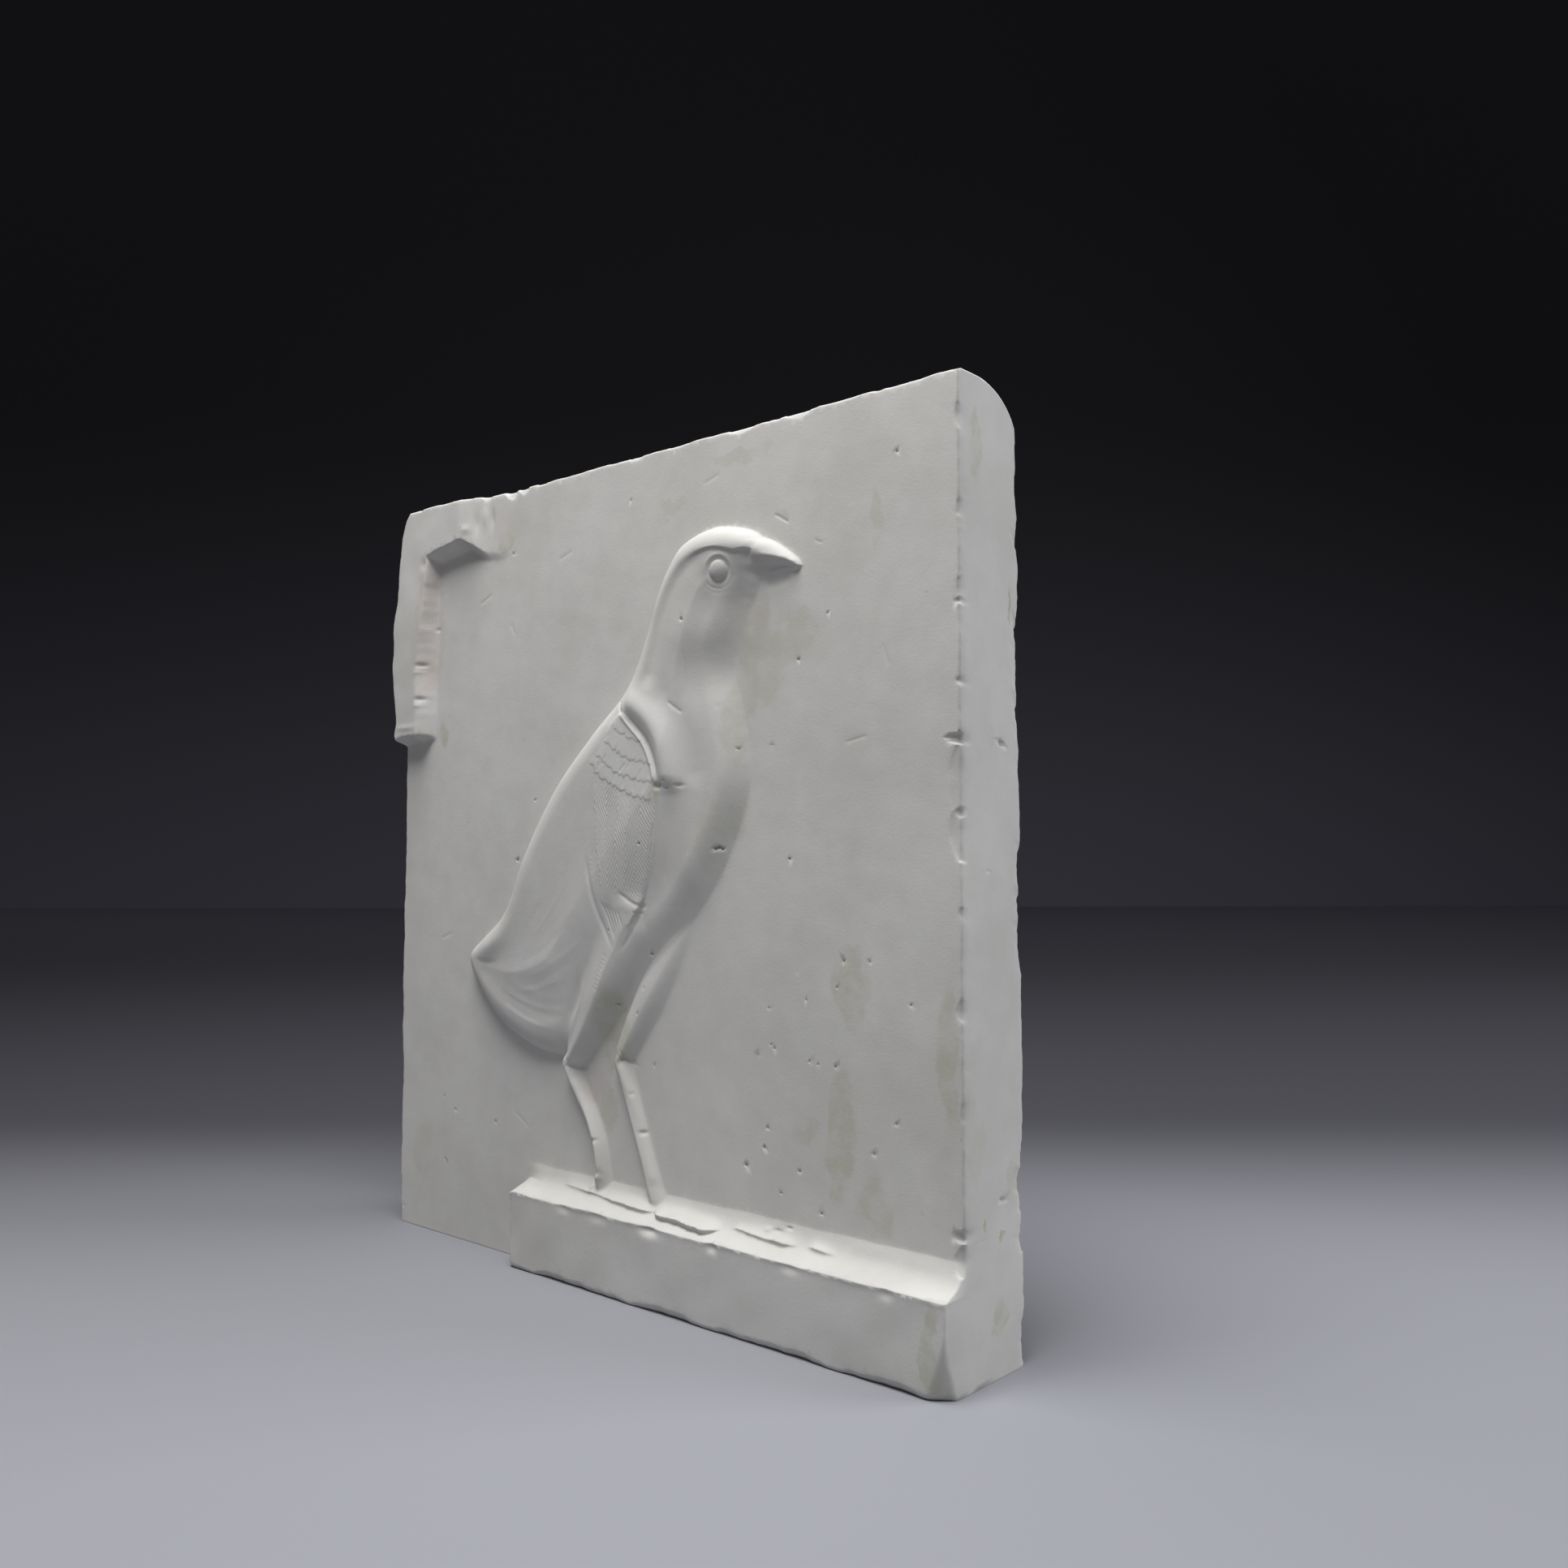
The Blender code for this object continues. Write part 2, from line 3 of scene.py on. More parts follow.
import bpy
import numpy as np
from mathutils import Matrix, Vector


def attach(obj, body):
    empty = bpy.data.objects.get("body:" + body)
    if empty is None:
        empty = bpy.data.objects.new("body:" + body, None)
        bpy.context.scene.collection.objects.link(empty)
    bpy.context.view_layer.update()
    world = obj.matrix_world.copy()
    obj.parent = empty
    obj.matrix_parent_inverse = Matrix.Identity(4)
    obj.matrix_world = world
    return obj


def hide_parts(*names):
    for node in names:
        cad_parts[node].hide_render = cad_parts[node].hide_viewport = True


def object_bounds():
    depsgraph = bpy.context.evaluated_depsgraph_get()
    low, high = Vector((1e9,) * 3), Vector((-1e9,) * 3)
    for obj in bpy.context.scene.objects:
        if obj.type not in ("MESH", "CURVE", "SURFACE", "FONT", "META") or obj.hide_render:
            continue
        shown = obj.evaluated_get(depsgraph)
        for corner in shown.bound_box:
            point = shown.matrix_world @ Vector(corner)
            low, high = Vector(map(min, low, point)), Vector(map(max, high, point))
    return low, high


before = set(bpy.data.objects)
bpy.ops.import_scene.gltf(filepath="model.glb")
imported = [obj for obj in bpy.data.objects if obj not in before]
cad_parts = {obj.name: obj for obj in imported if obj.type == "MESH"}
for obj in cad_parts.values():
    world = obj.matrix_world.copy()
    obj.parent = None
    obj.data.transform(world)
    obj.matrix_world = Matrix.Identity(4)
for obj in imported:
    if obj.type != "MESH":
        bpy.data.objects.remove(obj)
cadLow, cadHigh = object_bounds()
print("frame loaded")

# All sizes of the relief are panel millimetres: across from the slab's left edge, up from its
# underside, and height out from the panel's face.
mm = 0.001
ledge = {
    "depth": 8.3, "left": 69.5, "top": 25.5, "drop": 3.0, "endRound": 3.2, "topRound": 3.0,
    "fillet": 4.4, "filletReach": 1.5, "footBevel": 1.8, "cornerChip": 6.0,
    "lumps": [(78, 28.4, 7, 1.8, 0.2), (205, 28.2, 8, 1.8, 0.25), (220, 27.8, 6, 1.6, 0.2)],
    "arrisChips": [(133, 3.0, 1.3), (157, 1.6, 0.8), (97, 2.6, 0.4), (112, 3.4, 0.35), (184, 2.6, 0.45),
                   (214, 1.8, 0.5)],
}
slab = {
    "width": 2 * cadHigh.x / mm, "height": cadHigh.z / mm,
    "thick": (cadHigh.y - cadLow.y) / mm - ledge["depth"],
    "arris": 0.85, "backRound": 19.0, "cornerSwell": 0.3,
    "left": [(0, 2.0), (25, 1.5), (48, 2.0), (75, 1.4), (100, 1.7), (128, 2.3), (150, 2.1), (161, 2.5),
             (164.5, 1.7), (170, 2.3), (175, 2.0), (181, 1.0), (187, 0.4), (193, 0.6), (202, 1.2), (210, 2.7),
             (221, 4.0), (228, 4.8), (235.5, 6.8), (240.2, 10.6)],
    # chips of the right arris: height, half length, how far they reach in, depth
    "rightChips": [(142, 9.0, 3.2, 0.6), (129, 6.5, 2.8, 0.7), (151.2, 1.3, 4.6, 1.0),
                   (164.8, 0.8, 1.1, 0.45), (186.6, 2.6, 1.1, 0.5), (183.9, 0.7, 1.6, 0.6),
                   (87.5, 2.6, 1.8, 0.45), (36, 1.4, 4.0, 1.1), (30.5, 3.6, 2.8, 0.8),
                   (110, 1.5, 1.2, 0.35), (64, 2.2, 1.2, 0.3), (206, 2.0, 1.0, 0.3), (228, 3.0, 1.1, 0.35)],
    "topChips": [(60, 3.0, 2.4, 0.9), (66, 2.6, 1.8, 0.7), (48, 2.0, 1.6, 0.5), (160, 5.0, 1.6, 0.5),
                 (180, 4.5, 1.5, 0.5), (118, 3.0, 1.2, 0.4)],
}
gridSettings = {"step": 0.38, "fine": 0.22, "ledgeFine": 0.2, "faces": 196000}


def smoothStep(low, high, value):
    t = np.clip((value - low) / (high - low), 0, 1)
    return t * t * (3 - 2 * t)


def smoothMax(a, b, blend):
    t = np.clip(0.5 + 0.5 * (a - b) / blend, 0, 1)
    return b + (a - b) * t + blend * t * (1 - t)


def quarterRound(t):
    # starts upright at 0 and lies flat at 1
    return np.sqrt(1 - (1 - np.clip(t, 0, 1)) ** 2)


def smoothLine(points, closed=False, steps=6):
    # Catmull-Rom through the points, with every value that a point carries
    points = np.array(points, float)
    count = len(points)
    rows = []
    for i in range(count if closed else count - 1):
        if closed:
            a, b, c, d = (points[(i + k) % count] for k in (-1, 0, 1, 2))
        else:
            a, b, c, d = (points[min(max(i + k, 0), count - 1)] for k in (-1, 0, 1, 2))
        for t in np.arange(steps) / steps:
            rows.append(0.5 * (2 * b + (c - a) * t + (2 * a - 5 * b + 4 * c - d) * t ** 2
                               + (3 * b - a - 3 * c + d) * t ** 3))
    if not closed:
        rows.append(points[-1])
    return np.array(rows)


def nearest(x, z, line, closed=False):
    # distance to a line, on which side (more than 0 on its left), how far along, and the line's own values
    ends = np.roll(line, -1, axis=0) if closed else line[1:]
    starts = line if closed else line[:-1]
    distance = np.full(x.shape, np.inf)
    side = np.zeros(x.shape)
    along = np.zeros(x.shape)
    values = np.zeros(x.shape + (line.shape[1] - 2,))
    passed = 0
    for start, end in zip(starts, ends):
        run = end[:2] - start[:2]
        length = math.hypot(*run) + 1e-9
        t = np.clip(((x - start[0]) * run[0] + (z - start[1]) * run[1]) / length ** 2, 0, 1)
        gap = np.hypot(x - start[0] - t * run[0], z - start[1] - t * run[1])
        closer = gap < distance
        distance[closer] = gap[closer]
        side[closer] = ((z - start[1]) * run[0] - (x - start[0]) * run[1])[closer]
        along[closer] = passed + t[closer] * length
        if values.shape[-1]:
            values[closer] = start[2:] + t[closer][:, None] * (end[2:] - start[2:])
        passed += length
    return distance, np.sign(side), along, values, passed


def inside(x, z, line):
    hit = np.zeros(x.shape, bool)
    for start, end in zip(line, np.roll(line, -1, axis=0)):
        crosses = (start[1] > z) != (end[1] > z)
        edge = start[0] + (z - start[1]) * (end[0] - start[0]) / (end[1] - start[1] + 1e-12)
        hit ^= crosses & (x < edge)
    return hit


def ripple(t, seed, length):
    # an uneven line: a few waves around one length
    rng = np.random.default_rng(seed)
    total = 0
    for octave in (0.6, 1.0, 1.7, 2.9, 5.1):
        total = total + np.sin(t * 2 * np.pi * octave / length + rng.uniform(0, 2 * np.pi)) / octave ** 0.8
    return total / 3


def undulation(x, z, seed, length):
    # an uneven surface: plane waves in many directions
    rng = np.random.default_rng(seed)
    total = np.zeros(x.shape)
    for _ in range(14):
        turn = rng.uniform(0, np.pi)
        wave = 2 * np.pi / (length * rng.uniform(0.6, 1.8))
        total += np.sin((x * np.cos(turn) + z * np.sin(turn)) * wave + rng.uniform(0, 2 * np.pi))
    return total / 7


# Grid over the slab's face, denser over the wing, the head and the ledge
def gridLines(length, bands):
    # bands are (from, to, step); outside them the grid's own step holds
    edges = sorted({0, length} | {b for band in bands for b in band[:2]})
    lines = []
    for low, high in zip(edges[:-1], edges[1:]):
        step = gridSettings["step"]
        for start, end, fine in bands:
            if start <= low and high <= end:
                step = min(step, fine)
        lines += list(np.linspace(low, high, max(2, int(round((high - low) / step)) + 1))[:-1])
    return np.array(lines + [length])


columns = gridLines(slab["width"], [(108, 134, gridSettings["fine"]), (0, 2.4, 0.3),
                                    (slab["width"] - 2.4, slab["width"], 0.3)])
rows = gridLines(slab["height"], [(21.5, 31, gridSettings["ledgeFine"]), (110, 162, gridSettings["fine"]),
                                  (193, 208, gridSettings["fine"]), (0, 2.4, 0.3),
                                  (slab["height"] - 2.4, slab["height"], 0.3)])
across, up = np.meshgrid(columns, rows)


def leftEdge(z):
    line = smoothLine(slab["left"])
    return np.interp(z, line[:, 0], line[:, 1]) + 0.22 * ripple(z, 3, 14)


def rightInset(z):
    inset = 0.12 + 0.12 * ripple(z, 5, 22)
    for middle, half, _, depth in slab["rightChips"]:
        inset = inset + 0.4 * depth * np.exp(-((z - middle) / half) ** 2)
    return np.maximum(inset, 0)


def topEdge(x):
    raised = smoothStep(4, 14, x) * smoothStep(75, 30, x)
    edge = slab["height"] - slab["cornerSwell"] * (1 - raised)
    edge = edge - 0.14 * (1 + ripple(x, 8, 26)) - 0.2 * smoothStep(0.4, 0.9, ripple(x, 9, 19))
    for middle, half, _, depth in slab["topChips"]:
        edge = edge - 0.3 * depth * np.exp(-((x - middle) / half) ** 2)
    return np.minimum(edge, slab["height"])


shareX = across / slab["width"]
x = leftEdge(up) * (1 - shareX) + (slab["width"] - rightInset(up)) * shareX
z = up / slab["height"] * topEdge(x)
height = np.zeros(x.shape)
print("grid of", x.size, "points")


def window(points, margin):
    # the part of the grid around some points
    points = np.array([point[:2] for point in points], float)
    low = points.min(axis=0) - margin
    high = points.max(axis=0) + margin
    i = np.searchsorted(columns, [low[0] - 3, high[0] + 3])
    j = np.searchsorted(rows, [low[1] - 3, high[1] + 3])
    return slice(j[0], j[1]), slice(i[0], i[1])


def swell(middle, half, rise, turn=0):
    # a soft swelling, or a hollow where the rise is below 0
    place = window([middle], 2.6 * max(half))
    dx = x[place] - middle[0]
    dz = z[place] - middle[1]
    c, s = math.cos(math.radians(turn)), math.sin(math.radians(turn))
    height[place] += rise * np.exp(-((dx * c + dz * s) / half[0]) ** 2 - ((dz * c - dx * s) / half[1]) ** 2)


def stroke(points, half, rise, taper=None):
    # a cut along a line, or a ridge where the rise is above 0
    line = smoothLine(points) if len(points) > 2 else np.array(points, float)
    place = window(line, 3.2 * half + 0.3)
    distance, _, along, _, length = nearest(x[place], z[place], line)
    taper = 2 * half if taper is None else taper
    ends = smoothStep(-0.2, taper, along) * smoothStep(-0.2, taper, length - along)
    height[place] += rise * np.exp(-(distance / half) ** 2) * ends


def stepEdge(points, rise, edge, fade, endTaper=1.5, startTaper=1.5):
    # raised on the line's left side with a short drop at the line, dying away over the fade
    line = smoothLine(points)
    place = window(line, 2.5 * fade + 2)
    distance, side, along, _, length = nearest(x[place], z[place], line)
    signed = distance * side
    ends = smoothStep(-0.2, startTaper, along) * smoothStep(-0.2, endTaper, length - along)
    height[place] += rise * smoothStep(-edge, edge, signed) * np.exp(-np.maximum(signed, 0) / fade) * ends


def soften(times):
    # evens out the steps that the grid leaves along a curved foot line
    for _ in range(times):
        height[1:-1] = 0.25 * height[:-2] + 0.5 * height[1:-1] + 0.25 * height[2:]
        height[:, 1:-1] = 0.25 * height[:, :-2] + 0.5 * height[:, 1:-1] + 0.25 * height[:, 2:]


# The bird's pose and main forms, in hundredths of its own height from its tail tip and the ledge's top.
# Outlines carry the width of their rolled edge, a height as a share of the relief, and how softly the
# edge runs out into the panel; limbs carry their half width and height.
bird = {
    "height": 188.5, "tailTip": 42.5, "relief": 7.4, "dome": 6.9, "domeFrom": 8.0, "domeTo": 35.0,
    "most": 8.22,
    "thighLean": -0.08, "farShankLean": -0.35, "nearShankLean": -0.45,
    "body": [
        (66.5, 96.9, 3.2, 0.72, 0), (58.6, 99.5, 3.8, 0.84, 0), (52.2, 98.3, 4.0, 0.84, 0),
        (48.8, 95.1, 4.0, 0.82, 0), (46.2, 90.7, 3.8, 0.80, 0), (43.9, 85.1, 3.8, 0.78, 0),
        (39.8, 77.6, 4.0, 0.84, 0), (32.3, 71.4, 4.2, 0.92, 0), (23.3, 63.3, 4.6, 0.92, 0),
        (15.2, 52.6, 4.6, 0.88, 0), (10.0, 43.2, 4.2, 0.78, 0), (3.4, 38.1, 3.0, 0.60, 0),
        (-0.2, 35.2, 2.2, 0.46, 0), (1.6, 30.8, 3.2, 0.56, 0), (8.4, 24.6, 4.4, 0.66, 0),
        (18.6, 20.9, 4.8, 0.66, 0), (29.5, 21.6, 5.6, 0.56, 0.5), (39.5, 29.4, 5.6, 0.50, 0.9),
        (49.1, 38.8, 5.3, 0.50, 0.9), (57.6, 47.8, 5.2, 0.52, 0.9), (63.0, 57.9, 5.0, 0.52, 0.9),
        (64.3, 65.0, 4.8, 0.52, 0.9), (62.8, 73.7, 5.2, 0.47, 0.9), (61.4, 79.3, 5.6, 0.44, 1),
        (64.0, 86.0, 5.4, 0.44, 1), (66.4, 91.0, 4.2, 0.48, 0.7)],
    "beak": [(60.5, 97.6, 2.6, 0.62, 0), (66.5, 96.8, 2.6, 0.60, 0), (70.2, 95.2, 2.0, 0.44, 0),
             (73.9, 92.0, 1.0, 0.26, 0), (70.6, 90.9, 2.2, 0.18, 0.9), (66.0, 90.4, 3.2, 0.24, 1),
             (60.5, 90.0, 3.2, 0.32, 1)],
    "nearThigh": [(41.6, 41.1, 6.9, 0.62), (37.7, 35.3, 5.8, 0.72), (34.9, 30.5, 4.7, 0.75),
                  (32.2, 26.4, 3.7, 0.69), (29.6, 22.8, 2.8, 0.64), (27.2, 19.8, 2.1, 0.54)],
    "nearShank": [(27.1, 19.4, 2.1, 0.54), (28.2, 16.7, 1.6, 0.46), (29.7, 14.3, 1.4, 0.43),
                  (31.6, 11.6, 1.3, 0.42), (33.3, 8.0, 1.3, 0.42), (34.1, 4.3, 1.4, 0.41),
                  (34.3, 1.6, 1.8, 0.34), (34.4, -1.2, 2.2, 0.26)],
    "farThigh": [(52.4, 42.0, 1.6, 0.04), (49.0, 37.0, 2.8, 0.18), (45.0, 31.2, 3.4, 0.30),
                 (41.4, 26.0, 3.0, 0.36), (39.1, 22.3, 2.4, 0.38)],
    "farShank": [(38.6, 20.6, 2.1, 0.38), (40.2, 16.2, 1.7, 0.36), (41.9, 11.7, 1.5, 0.35),
                 (43.8, 7.2, 1.5, 0.35), (45.5, 2.9, 1.8, 0.35), (46.5, 0.8, 2.3, 0.32),
                 (47.0, -1.2, 2.6, 0.28)],
    "wing": [(41.4, 73.6), (45.2, 70.0), (47.8, 66.2), (49.0, 62.4), (48.6, 57.5), (47.4, 51.7), (45.2, 45.9),
             (42.2, 40.6), (39.0, 37.1), (36.1, 42.2), (34.0, 48.0), (32.9, 55.4), (33.4, 61.8), (35.5, 68.0),
             (38.3, 72.3)],
}


def onPanel(points):
    # from hundredths of the bird to panel millimetres
    unit = bird["height"] / 100
    placed = []
    for side, rise, *rest in points:
        place = [bird["tailTip"] + side * unit, ledge["top"] + rise * unit]
        if rest:
            place += [rest[0] * unit, rest[1] * bird["relief"]] + rest[2:]
        placed.append(place)
    return placed


def rolledForm(px, pz, outline):
    line = smoothLine(outline, True)
    distance = nearest(px, pz, line, True)[0]
    within = inside(px, pz, line)
    weight = 0
    values = np.zeros(px.shape + (3,))
    for point in line[::2]:
        pull = 1 / (((px - point[0]) ** 2 + (pz - point[1]) ** 2) + 1.0) ** 2
        weight = weight + pull
        values += pull[..., None] * point[2:]
    width, top, soft = np.moveaxis(values / weight[..., None], -1, 0)
    t = np.where(within, distance, -distance) / width
    rolled = np.where(within, quarterRound(t), 0)
    rolled = rolled * smoothStep(0.02, 0.12, rolled)
    return top * (rolled * (1 - soft) + soft * smoothStep(-0.24, 1.05, t)), np.where(within, distance, 0)


def limb(px, pz, middleLine, lean):
    # lean moves the crest to one side of the middle line, as a share of the half width;
    # the crest's short side falls steeply, its long side softly
    distance, side, _, values, _ = nearest(px, pz, smoothLine(middleLine))
    s = np.clip(distance / values[..., 0] * side, -1, 1)
    longSide = smoothStep(1, -0.1, (s - lean) / (1 - lean))
    shortSide = np.clip(1 - ((lean - s) / (1 + lean)) ** 2, 0, 1) ** 0.5
    return values[..., 1] * np.where(s > lean, longSide, shortSide)


def buildBird():
    body = onPanel(bird["body"])
    parts = ("body", "beak", "nearThigh", "nearShank", "farThigh", "farShank")
    place = window([point for part in parts for point in onPanel(bird[part])], 6)
    px, pz = x[place], z[place]
    form, distance = rolledForm(px, pz, body)
    # the middle of the body stands higher than its edges
    form = form + np.maximum(bird["dome"] - form, 0) * smoothStep(bird["domeFrom"], bird["domeTo"], distance)
    beak, _ = rolledForm(px, pz, onPanel(bird["beak"]))
    form = smoothMax(form, beak, 0.3 + 1.6 * smoothStep(0, 3, np.minimum(form, beak)))
    # The far leg lies lower and behind, the near leg stands out from the belly
    far = smoothMax(limb(px, pz, onPanel(bird["farThigh"]), bird["thighLean"]),
                    limb(px, pz, onPanel(bird["farShank"]), bird["farShankLean"]), 0.4)
    near = smoothMax(limb(px, pz, onPanel(bird["nearThigh"]), bird["thighLean"]),
                     limb(px, pz, onPanel(bird["nearShank"]), bird["nearShankLean"]), 0.4)
    form = smoothMax(form, far, 0.3 + 1.6 * smoothStep(0, 2, np.minimum(form, far)))
    form = smoothMax(form, near, 0.3 + 2.4 * smoothStep(0, 3, np.minimum(form, near)))
    # the blends lift everything a little, so the panel is brought back to 0
    height[place] = np.maximum(height[place], form - form.min())


buildBird()
print("bird's main forms")

# Broad modelling over those forms: middle, half width and half height, rise, turn
modelling = [
    ((150, 184), (10, 7), 0.85, 0), ((153, 172), (9, 6), -0.1, 0), ((141, 180), (5, 14), 0.25, 0),
    ((150, 160), (12, 9), 0.35, 0), ((144, 126), (5, 17), 0.5, 0), ((110, 150), (12, 18), 0.3, -35),
    ((84, 112), (14, 20), 0.35, -35), ((56, 94.5), (8, 3.2), 0.7, 32), ((112, 88), (7, 8), 0.25, 0),
]
for shape in modelling:
    swell(*shape)
soften(1)

# Nape, brow and the hollows that set the neck off from its rim
stepEdge([(153, 206.4), (149, 205.8), (145, 204.2), (141, 201.6), (138, 198.4), (135.4, 194.4),
          (133.1, 189.6), (131.2, 184.4), (129.5, 179), (128.1, 174), (126.8, 170.4)], -0.8, 2.2, 5.5, 5, 8)
stepEdge([(167.6, 204.4), (164.7, 204.9), (161.8, 204.8), (158.1, 205.9), (154.4, 206.6), (150.7, 206.4),
          (147, 205.4), (143.4, 203.6)],
         -0.62, 0.6, 3.4, 9)
swell((165.2, 203.2), (1.8, 1.6), -0.4)
stroke([(168.2, 203), (168.0, 199.5), (167.4, 195)], 1.6, -0.2, 3)
stroke([(143.0, 188), (142.8, 182), (143.2, 175), (143.3, 170), (143, 165.5)], 0.5, -0.09, 3)
stroke([(141.5, 184.5), (140.2, 180), (140, 174), (139.3, 169)], 0.45, -0.05, 3)
stroke([(137.3, 166.2), (139.6, 164.6), (142.4, 162.8)], 0.35, -0.22, 0.8)

# Beak: a crest along its top, the mouth, and the lower bill set back
stroke([(168.5, 203.2), (174, 202.1), (178.5, 200.6), (182, 199.0)], 0.9, 0.3, 3)
stroke([(169.5, 200.0), (174, 200.0), (178.5, 199.3), (182, 198.4)], 1.2, -0.4, 3)
stroke([(169.5, 197.4), (173.5, 198.5), (178, 198.4), (181.5, 197.8)], 0.5, 0.2, 3)
stroke([(168, 195.4), (174, 195.6), (179, 196.6)], 1.4, -0.3, 3)


def buildEye():
    eye = {"middle": (155.9, 200.4), "ball": 2.8, "dome": 0.95, "lid": 4.3, "outer": 5.5}
    place = window([eye["middle"]], 9)
    dx = x[place] - eye["middle"][0]
    dz = z[place] - eye["middle"][1]
    reach = np.hypot(dx, dz)
    upper = smoothStep(-3, 4, dz)
    shape = -0.3 * smoothStep(eye["lid"] + 1.4, eye["ball"] - 0.5, reach)
    shape += eye["dome"] * np.sqrt(np.clip(1 - (reach / eye["ball"]) ** 2, 0, 1))
    # the upper lid is fuller than the lower one, which two fine lines draw
    broken = 0.75 + 0.35 * ripple(np.arctan2(dz, dx) * eye["lid"], 91, 5)
    shape += (0.05 + 0.2 * upper) * np.exp(-((reach - eye["lid"]) / 0.75) ** 2)
    shape -= (0.16 - 0.1 * upper) * np.exp(-((reach - eye["lid"] - 0.6) / 0.4) ** 2) * broken
    shape -= 0.07 * (1 - upper) * np.exp(-((reach - eye["outer"] - 0.4) / 0.45) ** 2) * broken
    height[place] += shape


buildEye()


# Shoulder roll and the groove that parts it from the wing
def buildShoulder():
    line = [(119.5, 168.6), (123.5, 166.6), (129.5, 162.4), (133.3, 158.2), (135.9, 153.6), (137.4, 149.1),
            (138.5, 143.8), (138.7, 142)]
    place = window(line, 12)
    distance, side, along, _, _ = nearest(x[place], z[place], smoothLine(line))
    signed = distance * side
    # a little steeper towards the wing than towards the breast
    width = np.where(signed > 0, 3.9, 3.3)
    start = smoothStep(-1, 6, along)
    end = smoothStep(139.5, 146.0, z[place] + 0.2 * ripple(x[place], 25, 4))
    stroke([(130, 171), (136.5, 167), (142, 161), (145, 154), (146.4, 147), (146.8, 141)], 3.6, -0.35, 6)
    height[place] += 1.5 * np.exp(-(distance / width) ** 2) * start * end
    stroke([(117.6, 168.2), (118.2, 165.6), (119.8, 163.8)], 0.5, -0.3, 1)
    stroke([(120.4, 163.9), (124.4, 160.5), (128.8, 156.5), (131.6, 152.4), (133.7, 147.8), (134.7, 144)],
           0.9, -0.42, 5)


def buildWing():
    outline = smoothLine(onPanel(bird["wing"]), True)
    place = window(outline, 3)
    px, pz = x[place], z[place]
    distance = nearest(px, pz, outline, True)[0] * inside(px, pz, outline)
    # the front edge stands free of the flank, less so lower down, and the rear edge melts into the back
    front = smoothStep(112, 124, px + 0.12 * (pz - 100))
    upper = smoothStep(132, 148, pz)
    width = (1.2 - 0.2 * upper) * front + 9.5 * (1 - front)
    height[place] += (0.32 - 0.05 * upper) * smoothStep(0, 1, distance / width)
    # thin raised rim along the front edge
    stroke([(118.6, 164), (119.9, 162.9), (123.4, 159.6), (127.7, 155.6), (130.4, 151.6), (132.5, 147.2),
            (133.5, 143.6)], 0.45, 0.28, 2)
    # soft hollow in front of the wing, the thin line beside it, and the cut that draws its rear lower edge
    stroke([(138, 141), (138, 132), (136.4, 122), (132.5, 113), (127, 105.5)], 4.4, -0.22, 8)
    stroke([(133.6, 140.5), (133.0, 134), (131.3, 126), (129.4, 119), (126.8, 111.5), (123, 103.6),
            (117.4, 96.2)], 0.55, -0.16, 3)
    stroke([(104.6, 124), (105.8, 117), (108, 109.5), (111.2, 102.5), (115, 96.4)], 0.75, -0.27, 6)


buildShoulder()
buildWing()

# Coverts: rows of feathers, each with a stepped lower edge
coverts = [
    [(115.8, 161), (118.3, 159.2), (121.3, 157.8), (124.3, 156.5), (127.3, 155.8), (130.3, 155.2)],
    [(112.3, 157), (114.6, 155.6), (117.5, 153.6), (120.3, 152), (123.5, 150.7), (127.5, 150), (133, 148.9)],
    [(108.8, 153), (111.3, 151.5), (114.3, 149.5), (117.3, 147.4), (121, 146.3), (124.5, 145.4),
     (129, 144.5), (133.4, 144.2)],
]


def featherRow(row, count, bulge, rise, cut):
    # one row of feathers: raised above a short step, which runs in small round tips
    line = smoothLine(row)
    place = window(line, 6)
    distance, side, along, _, length = nearest(x[place], z[place], line)
    beat = along / length * count + 0.35 * ripple(along, count, 7)
    signed = distance * side + bulge * (np.abs(np.sin(beat * np.pi)) - 0.4) + 0.12 * ripple(along, count
                                                                                            + 1, 2.5)
    ends = smoothStep(-0.2, 1.5, along) * smoothStep(-0.2, 1.5, length - along)
    height[place] += rise * smoothStep(-0.22, 0.22, signed) * np.exp(-np.maximum(signed, 0) / 3.5) * ends
    height[place] -= cut * np.exp(-((signed + 0.1) / 0.34) ** 2) * ends * (0.7 + 0.5
                                                                           * ripple(along, count + 2, 5))


for row, count in zip(coverts, (5, 8, 10)):
    featherRow(row, count, 0.75, 0.10, 0.03)
scallops = {"row": [(106.5, 151.5), (108.6, 148.4), (111, 146.4), (114.6, 144.7), (118.4, 142.9),
                    (122, 141.6), (126, 140.3), (129.5, 139.6), (132.8, 139.2)], "count": 10, "bulge": 0.9}
featherRow(scallops["row"], scallops["count"], scallops["bulge"], 0.12, 0.045)
for start, end in [((114.5, 158.6), (112.8, 156.6)), ((119.2, 153.4), (118.2, 150.6)),
                   ((123.6, 151), (122.6, 147.9)), ((121.4, 149.6), (119.0, 147.2)),
                   ((127.8, 147.8), (126.6, 144.8)), ((113.6, 152.4), (111.6, 149.6)),
                   ((117.4, 147.6), (116.2, 144.4)), ((125.2, 145.2), (124.8, 141.6)),
                   ((129.8, 145), (129.2, 141.2)), ((110.6, 150.6), (109.4, 147.4)),
                   ((121, 145.8), (120.4, 142.6)), ((131.8, 149), (131.2, 145.2))]:
    stroke([start, end], 0.3, -0.09, 0.6)

# Flight feathers: barbs slant one way and the other between quills that run to the wing's tip
barbs = {"tip": (115.4, 95.5), "pitch": 0.92, "slant": 63, "depth": 0.13, "top": 141.5, "bottom": 112.5,
         "rows": 6}


